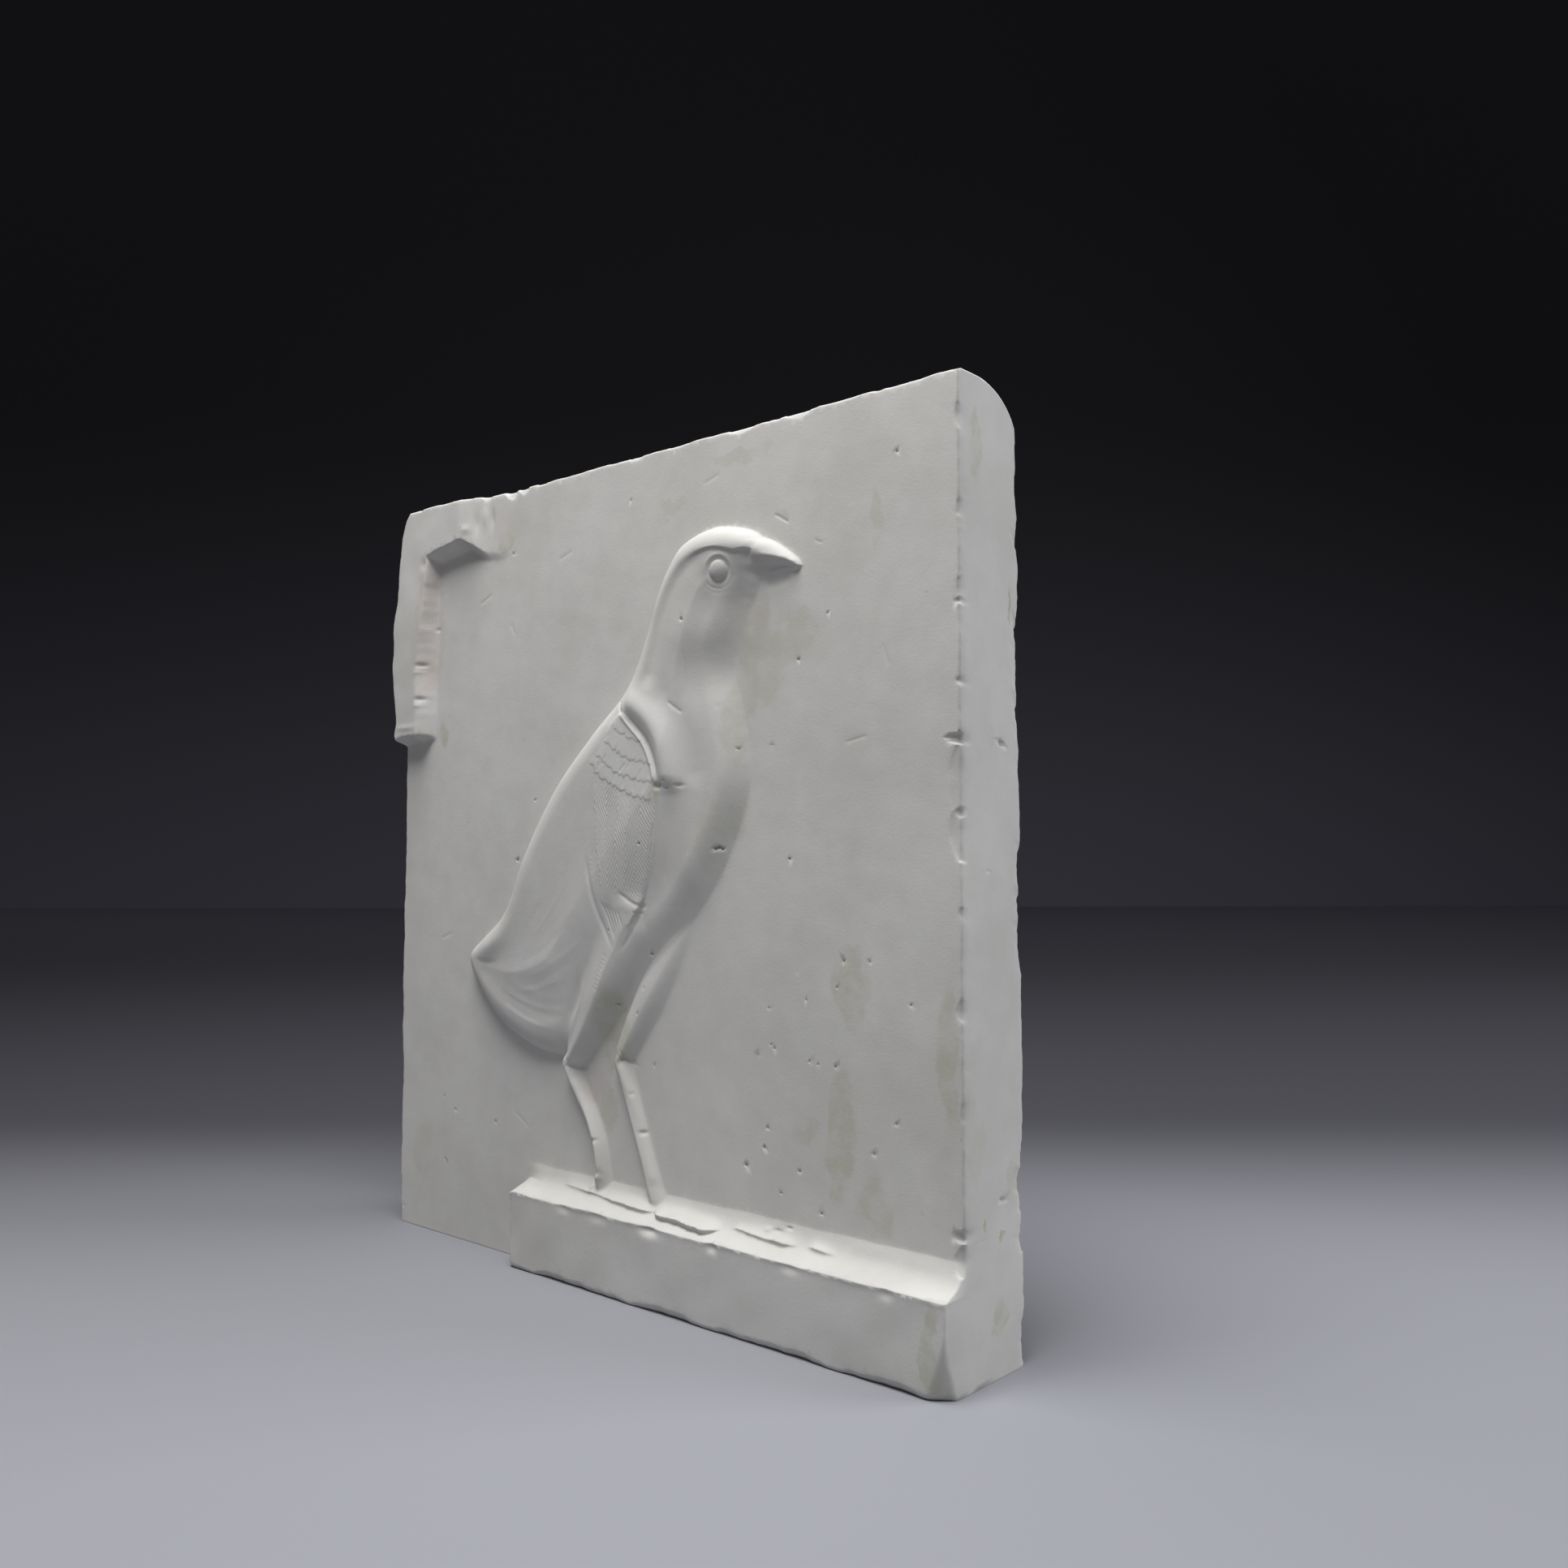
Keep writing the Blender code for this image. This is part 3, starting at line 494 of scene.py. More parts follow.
def buildBarbs():
    outline = smoothLine(onPanel(bird["wing"]), True)
    place = window(outline, 1)
    px, pz = x[place], z[place]
    distance = nearest(px, pz, outline, True)[0] * inside(px, pz, outline)
    rise = (pz - barbs["tip"][1]) / (barbs["top"] - barbs["tip"][1])
    left = barbs["tip"][0] - 12.4 * np.clip(rise, 0, 2) ** 0.62
    right = barbs["tip"][0] + 18.8 * np.clip(rise, 0, 2) ** 0.66
    fan = np.clip((px - left) / (right - left), 0, 0.999) * barbs["rows"] + 0.12 * ripple(pz, 21, 12)
    band = np.floor(fan)
    slant = np.radians(barbs["slant"] + 6 * np.sin(band * 2.3))
    direction = np.where(band % 2 == 0, 1.0, -1.0)
    phase = (px * np.sin(slant) - direction * pz * np.cos(slant)) / barbs["pitch"] + 0.37 * band
    phase = phase + 0.5 * ripple(pz + 3 * band, 22, 30)
    lines = (0.5 - 0.5 * np.cos(2 * np.pi * phase)) ** 1.6
    scallopLine = smoothLine(scallops["row"])
    gap, side, _, _, _ = nearest(px, pz, scallopLine)
    below = smoothStep(0.2, 1.6, -gap * side)
    above = smoothStep(barbs["bottom"] - 1.5, barbs["bottom"] + 1.5, pz + 0.25 * (px - 118))
    fade = smoothStep(0.4, 1.6, distance) * (0.75 + 0.25 * undulation(px, pz, 23, 9))
    height[place] -= barbs["depth"] * lines * below * above * fade
    quills = np.exp(-((fan - np.round(fan)) / 0.07) ** 2)
    height[place] += 0.05 * quills * below * above * fade


buildBarbs()
# The last feathers: a notch across, a bright facet under it, and straight lines down to the tip
stroke([(117, 113.5), (119.5, 112), (122.3, 110.4), (125.2, 109.4), (128.2, 109.2)], 0.6, -0.28, 3)
swell((120.2, 109.0), (3.6, 1.4), 0.15, -18)
stroke([(122.5, 107.6), (126.5, 107.2)], 0.35, -0.18, 1)
for i in range(5):
    stroke([(110.6 + 1.5 * i, 110.6 - 0.5 * i), (113.3 + 1.3 * i, 105 - 0.3 * i),
            (115.8 + 0.6 * i, 99.5 + 0.9 * i)], 0.36, -0.2, 2)

# Pits where the shoulder ends
for middle, half, rise in [((134.4, 142.8), (1.15, 0.8), -0.8), ((137.6, 142.4), (0.9, 0.6), -0.55),
                           ((142.0, 142.8), (1.3, 0.5), -0.35), ((137.4, 144.2), (0.4, 0.35), -0.3)]:
    swell(middle, half, rise)

# Tail, belly and thighs
stroke([(46.5, 91.2), (50, 90.3), (55, 89.9), (61, 90.6)], 1.0, -0.18, 6)
bellyStrokes = [
    [(97, 87.5), (90, 86.3), (83, 84), (76, 82.6), (68, 82.8)],
    [(101, 93.5), (94, 91), (87, 87.5), (80, 85), (72, 84.6)],
    [(98, 82.5), (90, 81), (82, 80.8), (74, 82)], [(96, 79), (88, 77.8), (80, 78.2), (70, 80.2), (62, 83.4)],
    [(94, 76), (86, 75.6), (77, 77), (68, 79.6), (60, 83)],
    [(92, 73), (84, 73), (76, 75), (66, 78.6), (58, 83)],
    [(104, 101), (98, 96.5), (90, 92), (82, 88.5), (74, 87.4)],
    [(100, 107), (93, 101), (86, 96), (78, 92.5), (70, 90.6)],
    [(94, 110), (87, 103), (80, 98), (72, 94)], [(97, 118), (90, 109), (83, 102), (76, 97.4)],
    [(86, 112), (80, 105), (74, 99.6)], [(62, 87.6), (70, 84.6), (80, 82.4), (88, 82.2)],
]
for i, line in enumerate(bellyStrokes):
    stroke(line, 0.7 + 0.25 * (i % 3), (0.05, -0.05, 0.04)[i % 3], 8)
stroke([(62, 78.6), (70, 75.4), (78, 73), (87, 71.6)], 0.7, 0.08, 6)
stroke([(60, 81), (68, 77.4), (76, 74.8), (86, 73.4)], 1.4, -0.1, 8)
stroke([(103.2, 92), (101.3, 86), (99.5, 80.5), (96.3, 74.5), (93, 68.5), (91.2, 65)], 1.0, 0.4, 9)
stroke([(100.8, 91), (98.8, 86), (97, 80.5), (93.8, 75), (90.4, 70)], 1.5, -0.3, 9)
for i in range(4):
    stroke([(91.6 + 0.3 * i, 64.6 - 0.9 * i), (93.6 + 0.5 * i, 63.2 - 0.8 * i),
            (97 + 0.6 * i, 62.6 - 0.7 * i)], 0.3, -0.22, 1)
    stroke([(114.6 + 0.5 * i, 68.6 - 0.9 * i), (116 + 0.5 * i, 66.9 - 0.8 * i),
            (118.6 + 0.6 * i, 65.8 - 0.7 * i)], 0.3, -0.18, 1)
stroke([(94.6, 58.5), (97.3, 54.2), (100.8, 48.8), (104.1, 41.6), (105.9, 34.5), (105.8, 31)], 0.8, 0.5, 3)
stroke([(114.4, 65), (116.6, 60), (120.0, 53.5), (123.3, 46), (126.3, 38), (128.6, 31.5)], 1.1, 0.45, 3)
for i in range(9):
    stroke([(110.6 - 0.5 * i, 95.2 - 1.2 * i), (112.2 - 0.5 * i, 94.4 - 1.2 * i)], 0.3, -0.1, 0.5)
for middle, half, rise in [((123.4, 45.6), (0.9, 0.6), -0.7), ((104.2, 41.2), (0.8, 0.5), -0.5),
                           ((119, 56), (0.6, 0.5), -0.3)]:
    swell(middle, half, rise)
height[:] = bird["most"] - smoothMax(bird["most"] - height, 0, 0.25)
print("carving")


# Feet on the ledge: for each toe its start and end across, how far it reaches out at each, how high
# it starts on the panel at each, and how deep its lower edge is undercut
feet = {"lip": 1.5, "claw": 7.0, "toes": [(88.0, 132.5, 1.6, 5.3, 31.0, 29.2, 0.5),
                                          (128.5, 157.0, 4.7, 7.2, 29.8, 28.6, 0.9),
                                          (157.0, 184.0, 2.8, 4.4, 29.8, 28.6, 0.5),
                                          (183.0, 197.0, 2.6, 3.6, 29.2, 28.2, 0.3)]}


def buildFeet():
    for start, end, reachStart, reachEnd, riseStart, riseEnd, undercut in feet["toes"]:
        place = window([(start, 20), (end, 33)], 3)
        px, pz = x[place], z[place]
        share = np.clip((px - start) / (end - start), 0, 1)
        ends = smoothStep(start - 1, start + 5, px) * smoothStep(end + 1, end - feet["claw"], px)
        plain = reachStart + (reachEnd - reachStart) * share
        reach = plain * (1 + 0.05 * ripple(px, 31, 11)) * ends ** 0.55
        under = np.minimum(undercut, 0.5 * reach)
        rise = riseStart + (riseEnd - riseStart) * share
        lip = feet["lip"] * (1 + 0.08 * ripple(px, 32, 12)) * ends
        front = ledge["top"] - ledge["drop"] * (reach - under) / ledge["depth"] + lip
        upper = reach * np.clip((rise - pz) / (rise - front), 0, 1) ** 2.1
        lower = reach - under * np.clip((front - pz) / feet["lip"], 0, None) ** 0.8
        foot = np.where(pz > front, upper, lower)
        joined = smoothMax(height[place], foot, 0.9) - 0.225 * np.exp(-np.maximum(height[place], foot) / 0.4)
        height[place] = np.where(reach > 0.05, joined, height[place])


def buildLedge():
    place = window([(0, 0), (slab["width"], 34)], 2)
    px, pz = x[place], z[place]
    top = ledge["top"] + 0.25 * ripple(px, 41, 30)
    top = top - ledge["topRound"] * (1 - quarterRound((px - ledge["left"]) / ledge["topRound"] / 2))
    shape = ledge["depth"] * np.clip((top - pz) / ledge["drop"], 0, 1)
    # its top runs up into the panel in a soft hollow, less so at the left end
    reach = np.linspace(0, ledge["depth"], 120)
    profile = ledge["fillet"] * np.exp(-reach / ledge["filletReach"]) - ledge["drop"] * reach / ledge["depth"]
    hollow = np.interp(pz - top, profile[::-1], reach[::-1])
    shape = shape + (hollow - shape) * smoothStep(-1, 12, px - ledge["left"])
    shape = ledge["depth"] - smoothMax(ledge["depth"] - shape, 0, 0.35)
    # worn lower front edge, and a front face that is not quite flat
    bevel = ledge["footBevel"] * (1 + 0.5 * ripple(px, 42, 24))
    shape = shape - 0.75 * bevel * np.clip(1 - pz / bevel, 0, 1) ** 1.6
    shape = shape - (0.16 + 0.16 * undulation(px, pz, 43, 20)) * smoothStep(23, 21, pz)
    fromEnd = px - ledge["left"] - 0.4 * ripple(pz, 44, 9)
    end = np.where(fromEnd > 0, quarterRound(fromEnd / ledge["endRound"]), 0)
    corner = smoothStep(0, ledge["cornerChip"], slab["width"] - px + 0.35 * pz)
    shape = shape * end * (0.55 + 0.45 * corner)
    height[place] = np.maximum(height[place], shape)


buildLedge()
buildFeet()
for middleX, middleZ, halfX, halfZ, rise in ledge["lumps"]:
    swell((middleX, middleZ), (halfX, halfZ), rise)
for middle, half, depth in ledge["arrisChips"]:
    swell((middle, ledge["top"] - ledge["drop"] - 0.8), (half, 1.3), -depth)
for middle, half, rise in [((174, 27.4), (1.6, 0.5), -0.5), ((177.5, 28.6), (1.0, 0.4), -0.4),
                           ((171, 27.4), (1.2, 0.6), 0.4)]:
    swell(middle, half, rise)

# Border left standing at the upper left: a strip with a sloping inner face, and an arm along the top.
# The inner edge has height, across and width of the sloping face; the arm has across and height.
border = {"rise": 5.0, "foot": 163.6, "footSlope": 2.4, "armSlope": 3.6,
          "inner": [(160, 13.6, 7.2), (170, 13.8, 7.3), (190, 14.4, 7.0), (200, 16.4, 5.2),
                    (214, 19.0, 2.8), (224, 19.8, 2.4), (232, 20, 2.4)],
          "arm": [(17, 223.4), (20, 223.9), (28, 225.5), (37, 226.8), (42.5, 225), (48, 222), (56, 221)]}


def buildBorder():
    place = window([(0, 156), (72, slab["height"])], 1)
    px, pz = x[place], z[place]
    innerLine = smoothLine(border["inner"])
    armLine = smoothLine(border["arm"])
    edge = np.interp(pz, innerLine[:, 0], innerLine[:, 1]) + 0.25 * ripple(pz, 51, 16)
    width = np.interp(pz, innerLine[:, 0], innerLine[:, 2])
    upright = smoothStep(edge + width, edge, px) ** 1.15
    foot = border["foot"] + 0.5 * ripple(px, 52, 10) + 0.05 * (px - 8)
    upright = upright * smoothStep(foot - border["footSlope"], foot, pz)
    armEdge = np.interp(px, armLine[:, 0], armLine[:, 1]) + 0.3 * ripple(px, 53, 11)
    arm = smoothStep(armEdge - border["armSlope"], armEdge, pz)
    arm = arm * (0.12 + 0.88 * smoothStep(51, 37, px)) * smoothStep(62, 50, px)
    shape = border["rise"] * np.maximum(upright, arm)
    shape = shape - (0.12 + 0.12 * undulation(px, pz, 54, 18)) * smoothStep(0, 2, shape)
    height[place] = np.maximum(height[place], shape)


buildBorder()
for middle, half, rise in [((16.2, 187.2), (1.5, 0.7), -0.7), ((15.6, 184.8), (1.8, 0.6), 0.2),
                           ((15.8, 175.8), (1.4, 0.7), -0.6), ((15.4, 173.6), (1.6, 0.6), 0.2),
                           ((20.8, 199), (0.8, 0.7), -0.35), ((9, 166.5), (6, 1.0), 0.2),
                           ((44.5, 231), (1.1, 3.6), -0.4), ((47.6, 233), (0.9, 3.2), 0.35),
                           ((50.8, 231.5), (1.0, 3.4), -0.35), ((41, 229.4), (1.8, 1.3), 0.3),
                           ((18.5, 221), (1.6, 1.8), -0.35)]:
    swell(middle, half, rise)
stroke([(106.2, 32), (104.4, 29.4), (101.4, 26.6)], 1.0, 0.8, 1.5)
print("ledge, feet and border")

# Worn arris, chips, scratches and the panel's own unevenness
flat = smoothStep(0.5, 0.0, np.abs(height))
height[:] += -0.1 - 0.1 * undulation(x, z, 61, 52) - flat * (0.03 + 0.02 * undulation(x, z, 62, 11))
fromRight = slab["width"] - rightInset(z) - x
fromTop = topEdge(x) - z


def chipArris(chips, gap, along):
    # a facet at the arris for each chip, widest in its middle
    for middle, half, reach, depth in chips:
        t = (along - middle + 0.12 * half * ripple(gap, int(middle), 7)) / half
        width = reach * np.sqrt(np.clip(1 - t ** 2, 0, 1)) * (1 + 0.3 * ripple(along, int(middle) + 1,
                                                                               3.2 * half)) + 1e-6
        height[:] -= depth * np.clip(1 - gap / width, 0, 1) ** 0.8 * (np.abs(t) < 1)


chipArris(slab["rightChips"], np.clip(fromRight, 0, None), z)
chipArris(slab["topChips"], np.clip(fromTop, 0, None), x)
edgeGap = np.minimum(np.minimum(x - leftEdge(z), fromRight), fromTop)
arris = slab["arris"] * (1 + 0.35 * ripple(z + x, 63, 12))
height[:] -= arris * (1 - quarterRound(np.clip(edgeGap, 0, None) / arris))
stroke([(172.3, 213.8), (174.6, 212.5), (177.4, 210.8)], 0.3, -0.22, 0.8)
scratches = [((186, 205), (189, 203.6)), ((146, 226.5), (152, 228.2)), ((196, 152), (203, 153.4)),
             ((44, 205), (50, 207.5)), ((60, 197), (62, 193)), ((208, 176), (210, 170)),
             ((84, 214), (90, 216)), ((24, 96), (30, 98)), ((64, 44), (71, 40))]
for start, end in scratches:
    stroke([start, end], 0.3, -0.09, 0.8)
print("edges and wear")


# Mesh: the face, then rings that carry its outline back, then rings that close the back
back = {"nearRings": [1.4, 3.0, 5.0], "farFrom": 6.5, "rings": 17, "fade": 7.0, "topSink": 0.82,
        "topEnd": 0.98,
        "closing": [0.985, 0.95, 0.88, 0.76, 0.6, 0.42, 0.22, 0.06],
        "edge": [(0, 1.6), (8, 1.4), (27, 0.6), (30, 1.6), (45, 2.2), (62, 0.6), (92, 0.5), (117, 2.0),
                 (140, 0.4), (160, 1.2), (182, 1.9), (205, 0.3), (209, 1.4), (220, 1.0), (240, 1.0)]}


def backTop(y):
    # the slab's top turns over to the back: how far it has sunk at a depth behind the panel
    into = np.clip((y - (slab["thick"] - slab["backRound"])) / slab["backRound"], 0, 1)
    return back["topSink"] * slab["backRound"] * (1 - np.sqrt(1 - (back["topEnd"] * into) ** 2))


def buildSlab():
    countX, countZ = len(columns), len(rows)
    face = np.stack([x, -height, z], -1).reshape(-1, 3)
    index = np.arange(countX * countZ).reshape(countZ, countX)
    quads = [np.stack([index[:-1, :-1], index[:-1, 1:], index[1:, 1:], index[1:, :-1]], -1).reshape(-1, 4)]
    rim = np.concatenate([index[0, :-1], index[:-1, -1], index[-1, :0:-1], index[:0:-1, 0]])
    start = face[rim]
    edgeLine = smoothLine(back["edge"])
    # how much the back edge is worn away, by height, more at the two sides than below
    worn = np.interp(start[:, 2], edgeLine[:, 0], edgeLine[:, 1]) * (1 + 0.5 * ripple(start[:, 2], 74, 12))
    # 1 along the right or left side, fading within a few millimetres along the underside and the top
    rightEnd = np.interp(start[:, 2], z[:, -1], x[:, -1])
    leftEnd = np.interp(start[:, 2], z[:, 0], x[:, 0])
    rightSide = smoothStep(rightEnd - back["fade"], rightEnd, start[:, 0])
    leftSide = smoothStep(leftEnd + back["fade"], leftEnd, start[:, 0])
    outwards = rightSide - leftSide
    points = [face]
    last = rim
    first = len(face)
    depths = np.concatenate([back["nearRings"], np.linspace(back["farFrom"], slab["thick"], back["rings"])])
    frontX = start[:, 0] + (slab["width"] - rightEnd) * rightSide
    for depth in depths:
        ring = start.copy()
        # chips of the front arris end within a few millimetres
        blend = smoothStep(0.5, 5.0, depth)
        ring[:, 0] = start[:, 0] * (1 - blend) + frontX * blend
        ring[:, 0] -= rightSide * (0.10 + 0.10 * undulation(start[:, 2], np.full(len(start), depth), 71,
                                                            30)) * blend
        ring[:, 1] = np.maximum(depth, start[:, 1] + 0.3)
        # upper edge sinks towards the back, and the back arris is rounded
        sink = backTop(depth)
        ring[:, 2] = np.where(start[:, 2] > 1e-6, start[:, 2] * (1 - sink / slab["height"]), 0)
        near = np.clip((depth - (slab["thick"] - 2.2 * worn)) / (2.2 * worn), 0, 1)
        ring[:, 0] -= outwards * 1.1 * worn * (1 - np.sqrt(1 - (0.97 * near) ** 2))
        grown = first + np.arange(len(ring))
        points.append(ring)
        quads.append(np.stack([last, grown, np.roll(grown, -1), np.roll(last, -1)], -1))
        last = grown
        first += len(ring)
    middle = np.array([slab["width"] / 2, slab["thick"], slab["height"] * 0.46])
    ring = points[-1]
    for share in back["closing"]:
        drawn = middle + (ring - middle) * share
        rough = 0.2 + 0.2 * undulation(drawn[:, 0], drawn[:, 2], 72, 50)
        drawn[:, 1] = slab["thick"] - rough * smoothStep(1.0, 0.9, share)
        grown = first + np.arange(len(drawn))
        points.append(drawn)
        quads.append(np.stack([last, grown, np.roll(grown, -1), np.roll(last, -1)], -1))
        last = grown
        first += len(drawn)
    points.append(middle[None] - [[0, 0.2, 0]])
    closing = np.stack([last, np.full(len(last), first), np.roll(last, -1)], -1)
    points = np.concatenate(points)
    # from panel millimetres to the frame
    points = points * mm + [-slab["width"] / 2 * mm, cadLow.y + ledge["depth"] * mm, 0]
    mesh = bpy.data.meshes.new("plaster relief")
    mesh.from_pydata(points, [], [tuple(q) for q in np.concatenate(quads).tolist()]
                     + [tuple(t) for t in closing.tolist()])
    piece = bpy.data.objects.new("plaster_slab", mesh)
    bpy.context.collection.objects.link(piece)
    print("slab mesh with", len(mesh.polygons), "faces")
    return piece


slabPiece = buildSlab()


# Casting marks: the surface is uneven, and air bubbles have left pinholes; Geometry Nodes press them in
casting = {
    "unevenDepth": 0.00004, "unevenScale": 95.0, "grainDepth": 0.00004, "grainScale": 420.0,
    "holeDepth": 1.7, "strayHoles": 350.0, "straySmallest": 0.00022, "strayLargest": 0.00036, "seed": 7,
    # known holes: across, up, radius
    "onPanel": [(162, 42.3, 0.55), (169.5, 53, 0.38), (168.5, 47.8, 0.42), (170.8, 74.5, 0.34),
                (172, 73.8, 0.32), (184, 71.5, 0.36), (186.8, 71, 0.3), (192.5, 71, 0.36),
                (180.6, 43.4, 0.42), (174.2, 37, 0.36), (187.8, 34, 0.4), (204.5, 51.2, 0.36),
                (211.3, 59.2, 0.34), (193, 90.8, 0.36), (203.5, 97.6, 0.34), (195.3, 97.5, 0.36),
                (216, 88, 0.34), (170, 84, 0.3), (183, 87, 0.3), (180.6, 174.4, 0.42), (177.3, 122.8, 0.4),
                (212.7, 222.8, 0.36), (190.3, 185.5, 0.34), (64.2, 122, 0.45)],
    "onBird": [(153.4, 125.9, 0.7), (152.6, 125.6, 0.65), (154.3, 125.5, 0.6), (126.8, 127, 0.42),
               (127.2, 96, 0.5), (143, 188.5, 0.45), (113.4, 81, 0.55), (112.6, 81.1, 0.45),
               (108.2, 81, 0.34), (98, 64.8, 0.5), (122, 79, 0.3), (160.5, 152, 0.32)],
    "onSide": [(16.5, 41.5, 0.7), (8.2, 33.5, 0.5), (11, 120, 0.4), (17.2, 151, 0.9)],
}


def heightAt(px, pz):
    i = np.clip(np.searchsorted(columns, px), 0, len(columns) - 1)
    j = np.clip(np.searchsorted(rows, pz), 0, len(rows) - 1)
    return height[j, i]


def holePoints():
    # one vertex for each known hole, with its radius as an attribute
    spots, sizes = [], []
    for px, pz, radius in casting["onPanel"] + casting["onBird"]:
        spots.append((px, -heightAt(px, pz), pz))
        sizes.append(radius)
    for depth, pz, radius in casting["onSide"]:
        spots.append((slab["width"], depth, pz))
        sizes.append(radius)
    spots = np.array(spots) * mm + [-slab["width"] / 2 * mm, cadLow.y + ledge["depth"] * mm, 0]
    mesh = bpy.data.meshes.new("hole points")
    mesh.from_pydata(spots, [], [])
    attribute = mesh.attributes.new("size", "FLOAT", "POINT")
    attribute.data.foreach_set("value", np.array(sizes) * mm)
    return bpy.data.objects.new("hole_points", mesh)


class Tree:
    # a node tree with one short call for a node
    def __init__(self, tree):
        self.tree = tree

    def node(self, kind, inputs=None, **settings):
        made = self.tree.nodes.new(kind)
        for name, value in settings.items():
            setattr(made, name, value)
        for name, value in (inputs or {}).items():
            socket = made.inputs[name]
            if isinstance(value, bpy.types.NodeSocket):
                self.tree.links.new(value, socket)
            else:
                socket.default_value = value
        return made


def castingTree():
    group = bpy.data.node_groups.new("cast surface", "GeometryNodeTree")
    face = group.interface
    face.new_socket("Geometry", in_out="INPUT", socket_type="NodeSocketGeometry")
    for name, kind in (("Known Holes", "NodeSocketObject"), ("Uneven Depth", "NodeSocketFloat"),
                       ("Uneven Scale", "NodeSocketFloat"), ("Grain Depth", "NodeSocketFloat"),
                       ("Grain Scale", "NodeSocketFloat"), ("Hole Depth", "NodeSocketFloat"),
                       ("Stray Holes", "NodeSocketFloat"), ("Smallest Stray", "NodeSocketFloat"),
                       ("Largest Stray", "NodeSocketFloat"), ("Seed", "NodeSocketInt"),
                       ("Material", "NodeSocketMaterial")):
        face.new_socket(name, in_out="INPUT", socket_type=kind)
    face.new_socket("Geometry", in_out="OUTPUT", socket_type="NodeSocketGeometry")
    tree = Tree(group)
    given = tree.node("NodeGroupInput").outputs
    known = tree.node("GeometryNodeObjectInfo", {"Object": given["Known Holes"]}, transform_space="RELATIVE")
    knownPoints = tree.node("GeometryNodeMeshToPoints", {"Mesh": known.outputs["Geometry"]})
    stray = tree.node("GeometryNodeDistributePointsOnFaces",
                      {"Mesh": given["Geometry"], "Density": given["Stray Holes"], "Seed": given["Seed"]})
    size = tree.node("FunctionNodeRandomValue", {2: given["Smallest Stray"], 3: given["Largest Stray"],
                                                 "Seed": given["Seed"]},
                     data_type="FLOAT")
    strayPoints = tree.node("GeometryNodeStoreNamedAttribute",
                            {"Geometry": stray.outputs["Points"], "Name": "size", "Value": size.outputs[1]},
                            data_type="FLOAT", domain="POINT")
    holes = tree.node("GeometryNodeJoinGeometry")
    group.links.new(knownPoints.outputs[0], holes.inputs[0])
    group.links.new(strayPoints.outputs[0], holes.inputs[0])
    position = tree.node("GeometryNodeInputPosition").outputs[0]
    normal = tree.node("GeometryNodeInputNormal").outputs["Normal"]
    nearestHole = tree.node("GeometryNodeSampleNearest", {"Geometry": holes.outputs[0]},
                            domain="POINT").outputs[0]
    spot = tree.node("GeometryNodeSampleIndex", {"Geometry": holes.outputs[0], "Value": position,
                                                 "Index": nearestHole},
                     data_type="FLOAT_VECTOR", domain="POINT").outputs[0]
    named = tree.node("GeometryNodeInputNamedAttribute", {"Name": "size"}, data_type="FLOAT").outputs[0]
    radius = tree.node("GeometryNodeSampleIndex", {"Geometry": holes.outputs[0], "Value": named,
                                                   "Index": nearestHole},
                       data_type="FLOAT", domain="POINT").outputs[0]
    gap = tree.node("ShaderNodeVectorMath", {0: position, 1: spot}, operation="DISTANCE").outputs["Value"]
    share = tree.node("ShaderNodeMath", {0: gap, 1: radius}, operation="DIVIDE").outputs[0]
    pull = tree.node("ShaderNodeMapRange", {"Value": share, "From Min": 1.25, "From Max": 0.35,
                                            "To Min": 0.0, "To Max": 1.0},
                     interpolation_type="SMOOTHSTEP").outputs[0]
    deep = tree.node("ShaderNodeMath", {0: pull, 1: radius}, operation="MULTIPLY").outputs[0]
    deep = tree.node("ShaderNodeMath", {0: deep, 1: given["Hole Depth"]}, operation="MULTIPLY").outputs[0]
    for depthName, scaleName, detail in (("Uneven Depth", "Uneven Scale", 2.0),
                                         ("Grain Depth", "Grain Scale", 3.0)):
        noise = tree.node("ShaderNodeTexNoise", {"Vector": position, "Scale": given[scaleName],
                                                 "Detail": detail}).outputs[0]
        part = tree.node("ShaderNodeMath", {0: noise, 1: given[depthName]}, operation="MULTIPLY").outputs[0]
        deep = tree.node("ShaderNodeMath", {0: deep, 1: part}, operation="ADD").outputs[0]
    # the underside stays flat, so the slab stands
    above = tree.node("ShaderNodeSeparateXYZ", {0: position}).outputs["Z"]
    free = tree.node("ShaderNodeMapRange", {"Value": above, "From Min": 0.0002,
                                            "From Max": 0.0015}).outputs[0]
    deep = tree.node("ShaderNodeMath", {0: deep, 1: free}, operation="MULTIPLY").outputs[0]
    inwards = tree.node("ShaderNodeMath", {0: deep, 1: -1.0}, operation="MULTIPLY").outputs[0]
    offset = tree.node("ShaderNodeVectorMath", {0: normal, "Scale": inwards}, operation="SCALE").outputs[0]
    moved = tree.node("GeometryNodeSetPosition", {"Geometry": given["Geometry"], "Offset": offset})
    smooth = tree.node("GeometryNodeSetShadeSmooth", {"Geometry": moved.outputs[0]})
    real = tree.node("GeometryNodeRealizeInstances", {"Geometry": smooth.outputs[0]})
    finish = tree.node("GeometryNodeSetMaterial", {"Geometry": real.outputs[0],
                                                   "Material": given["Material"]})
    group.links.new(finish.outputs[0], tree.node("NodeGroupOutput").inputs[0])
    return group


def setInput(modifier, name, value):
    for item in modifier.node_group.interface.items_tree:
        if item.item_type == "SOCKET" and item.in_out == "INPUT" and item.name == name:
            modifier[item.identifier] = value


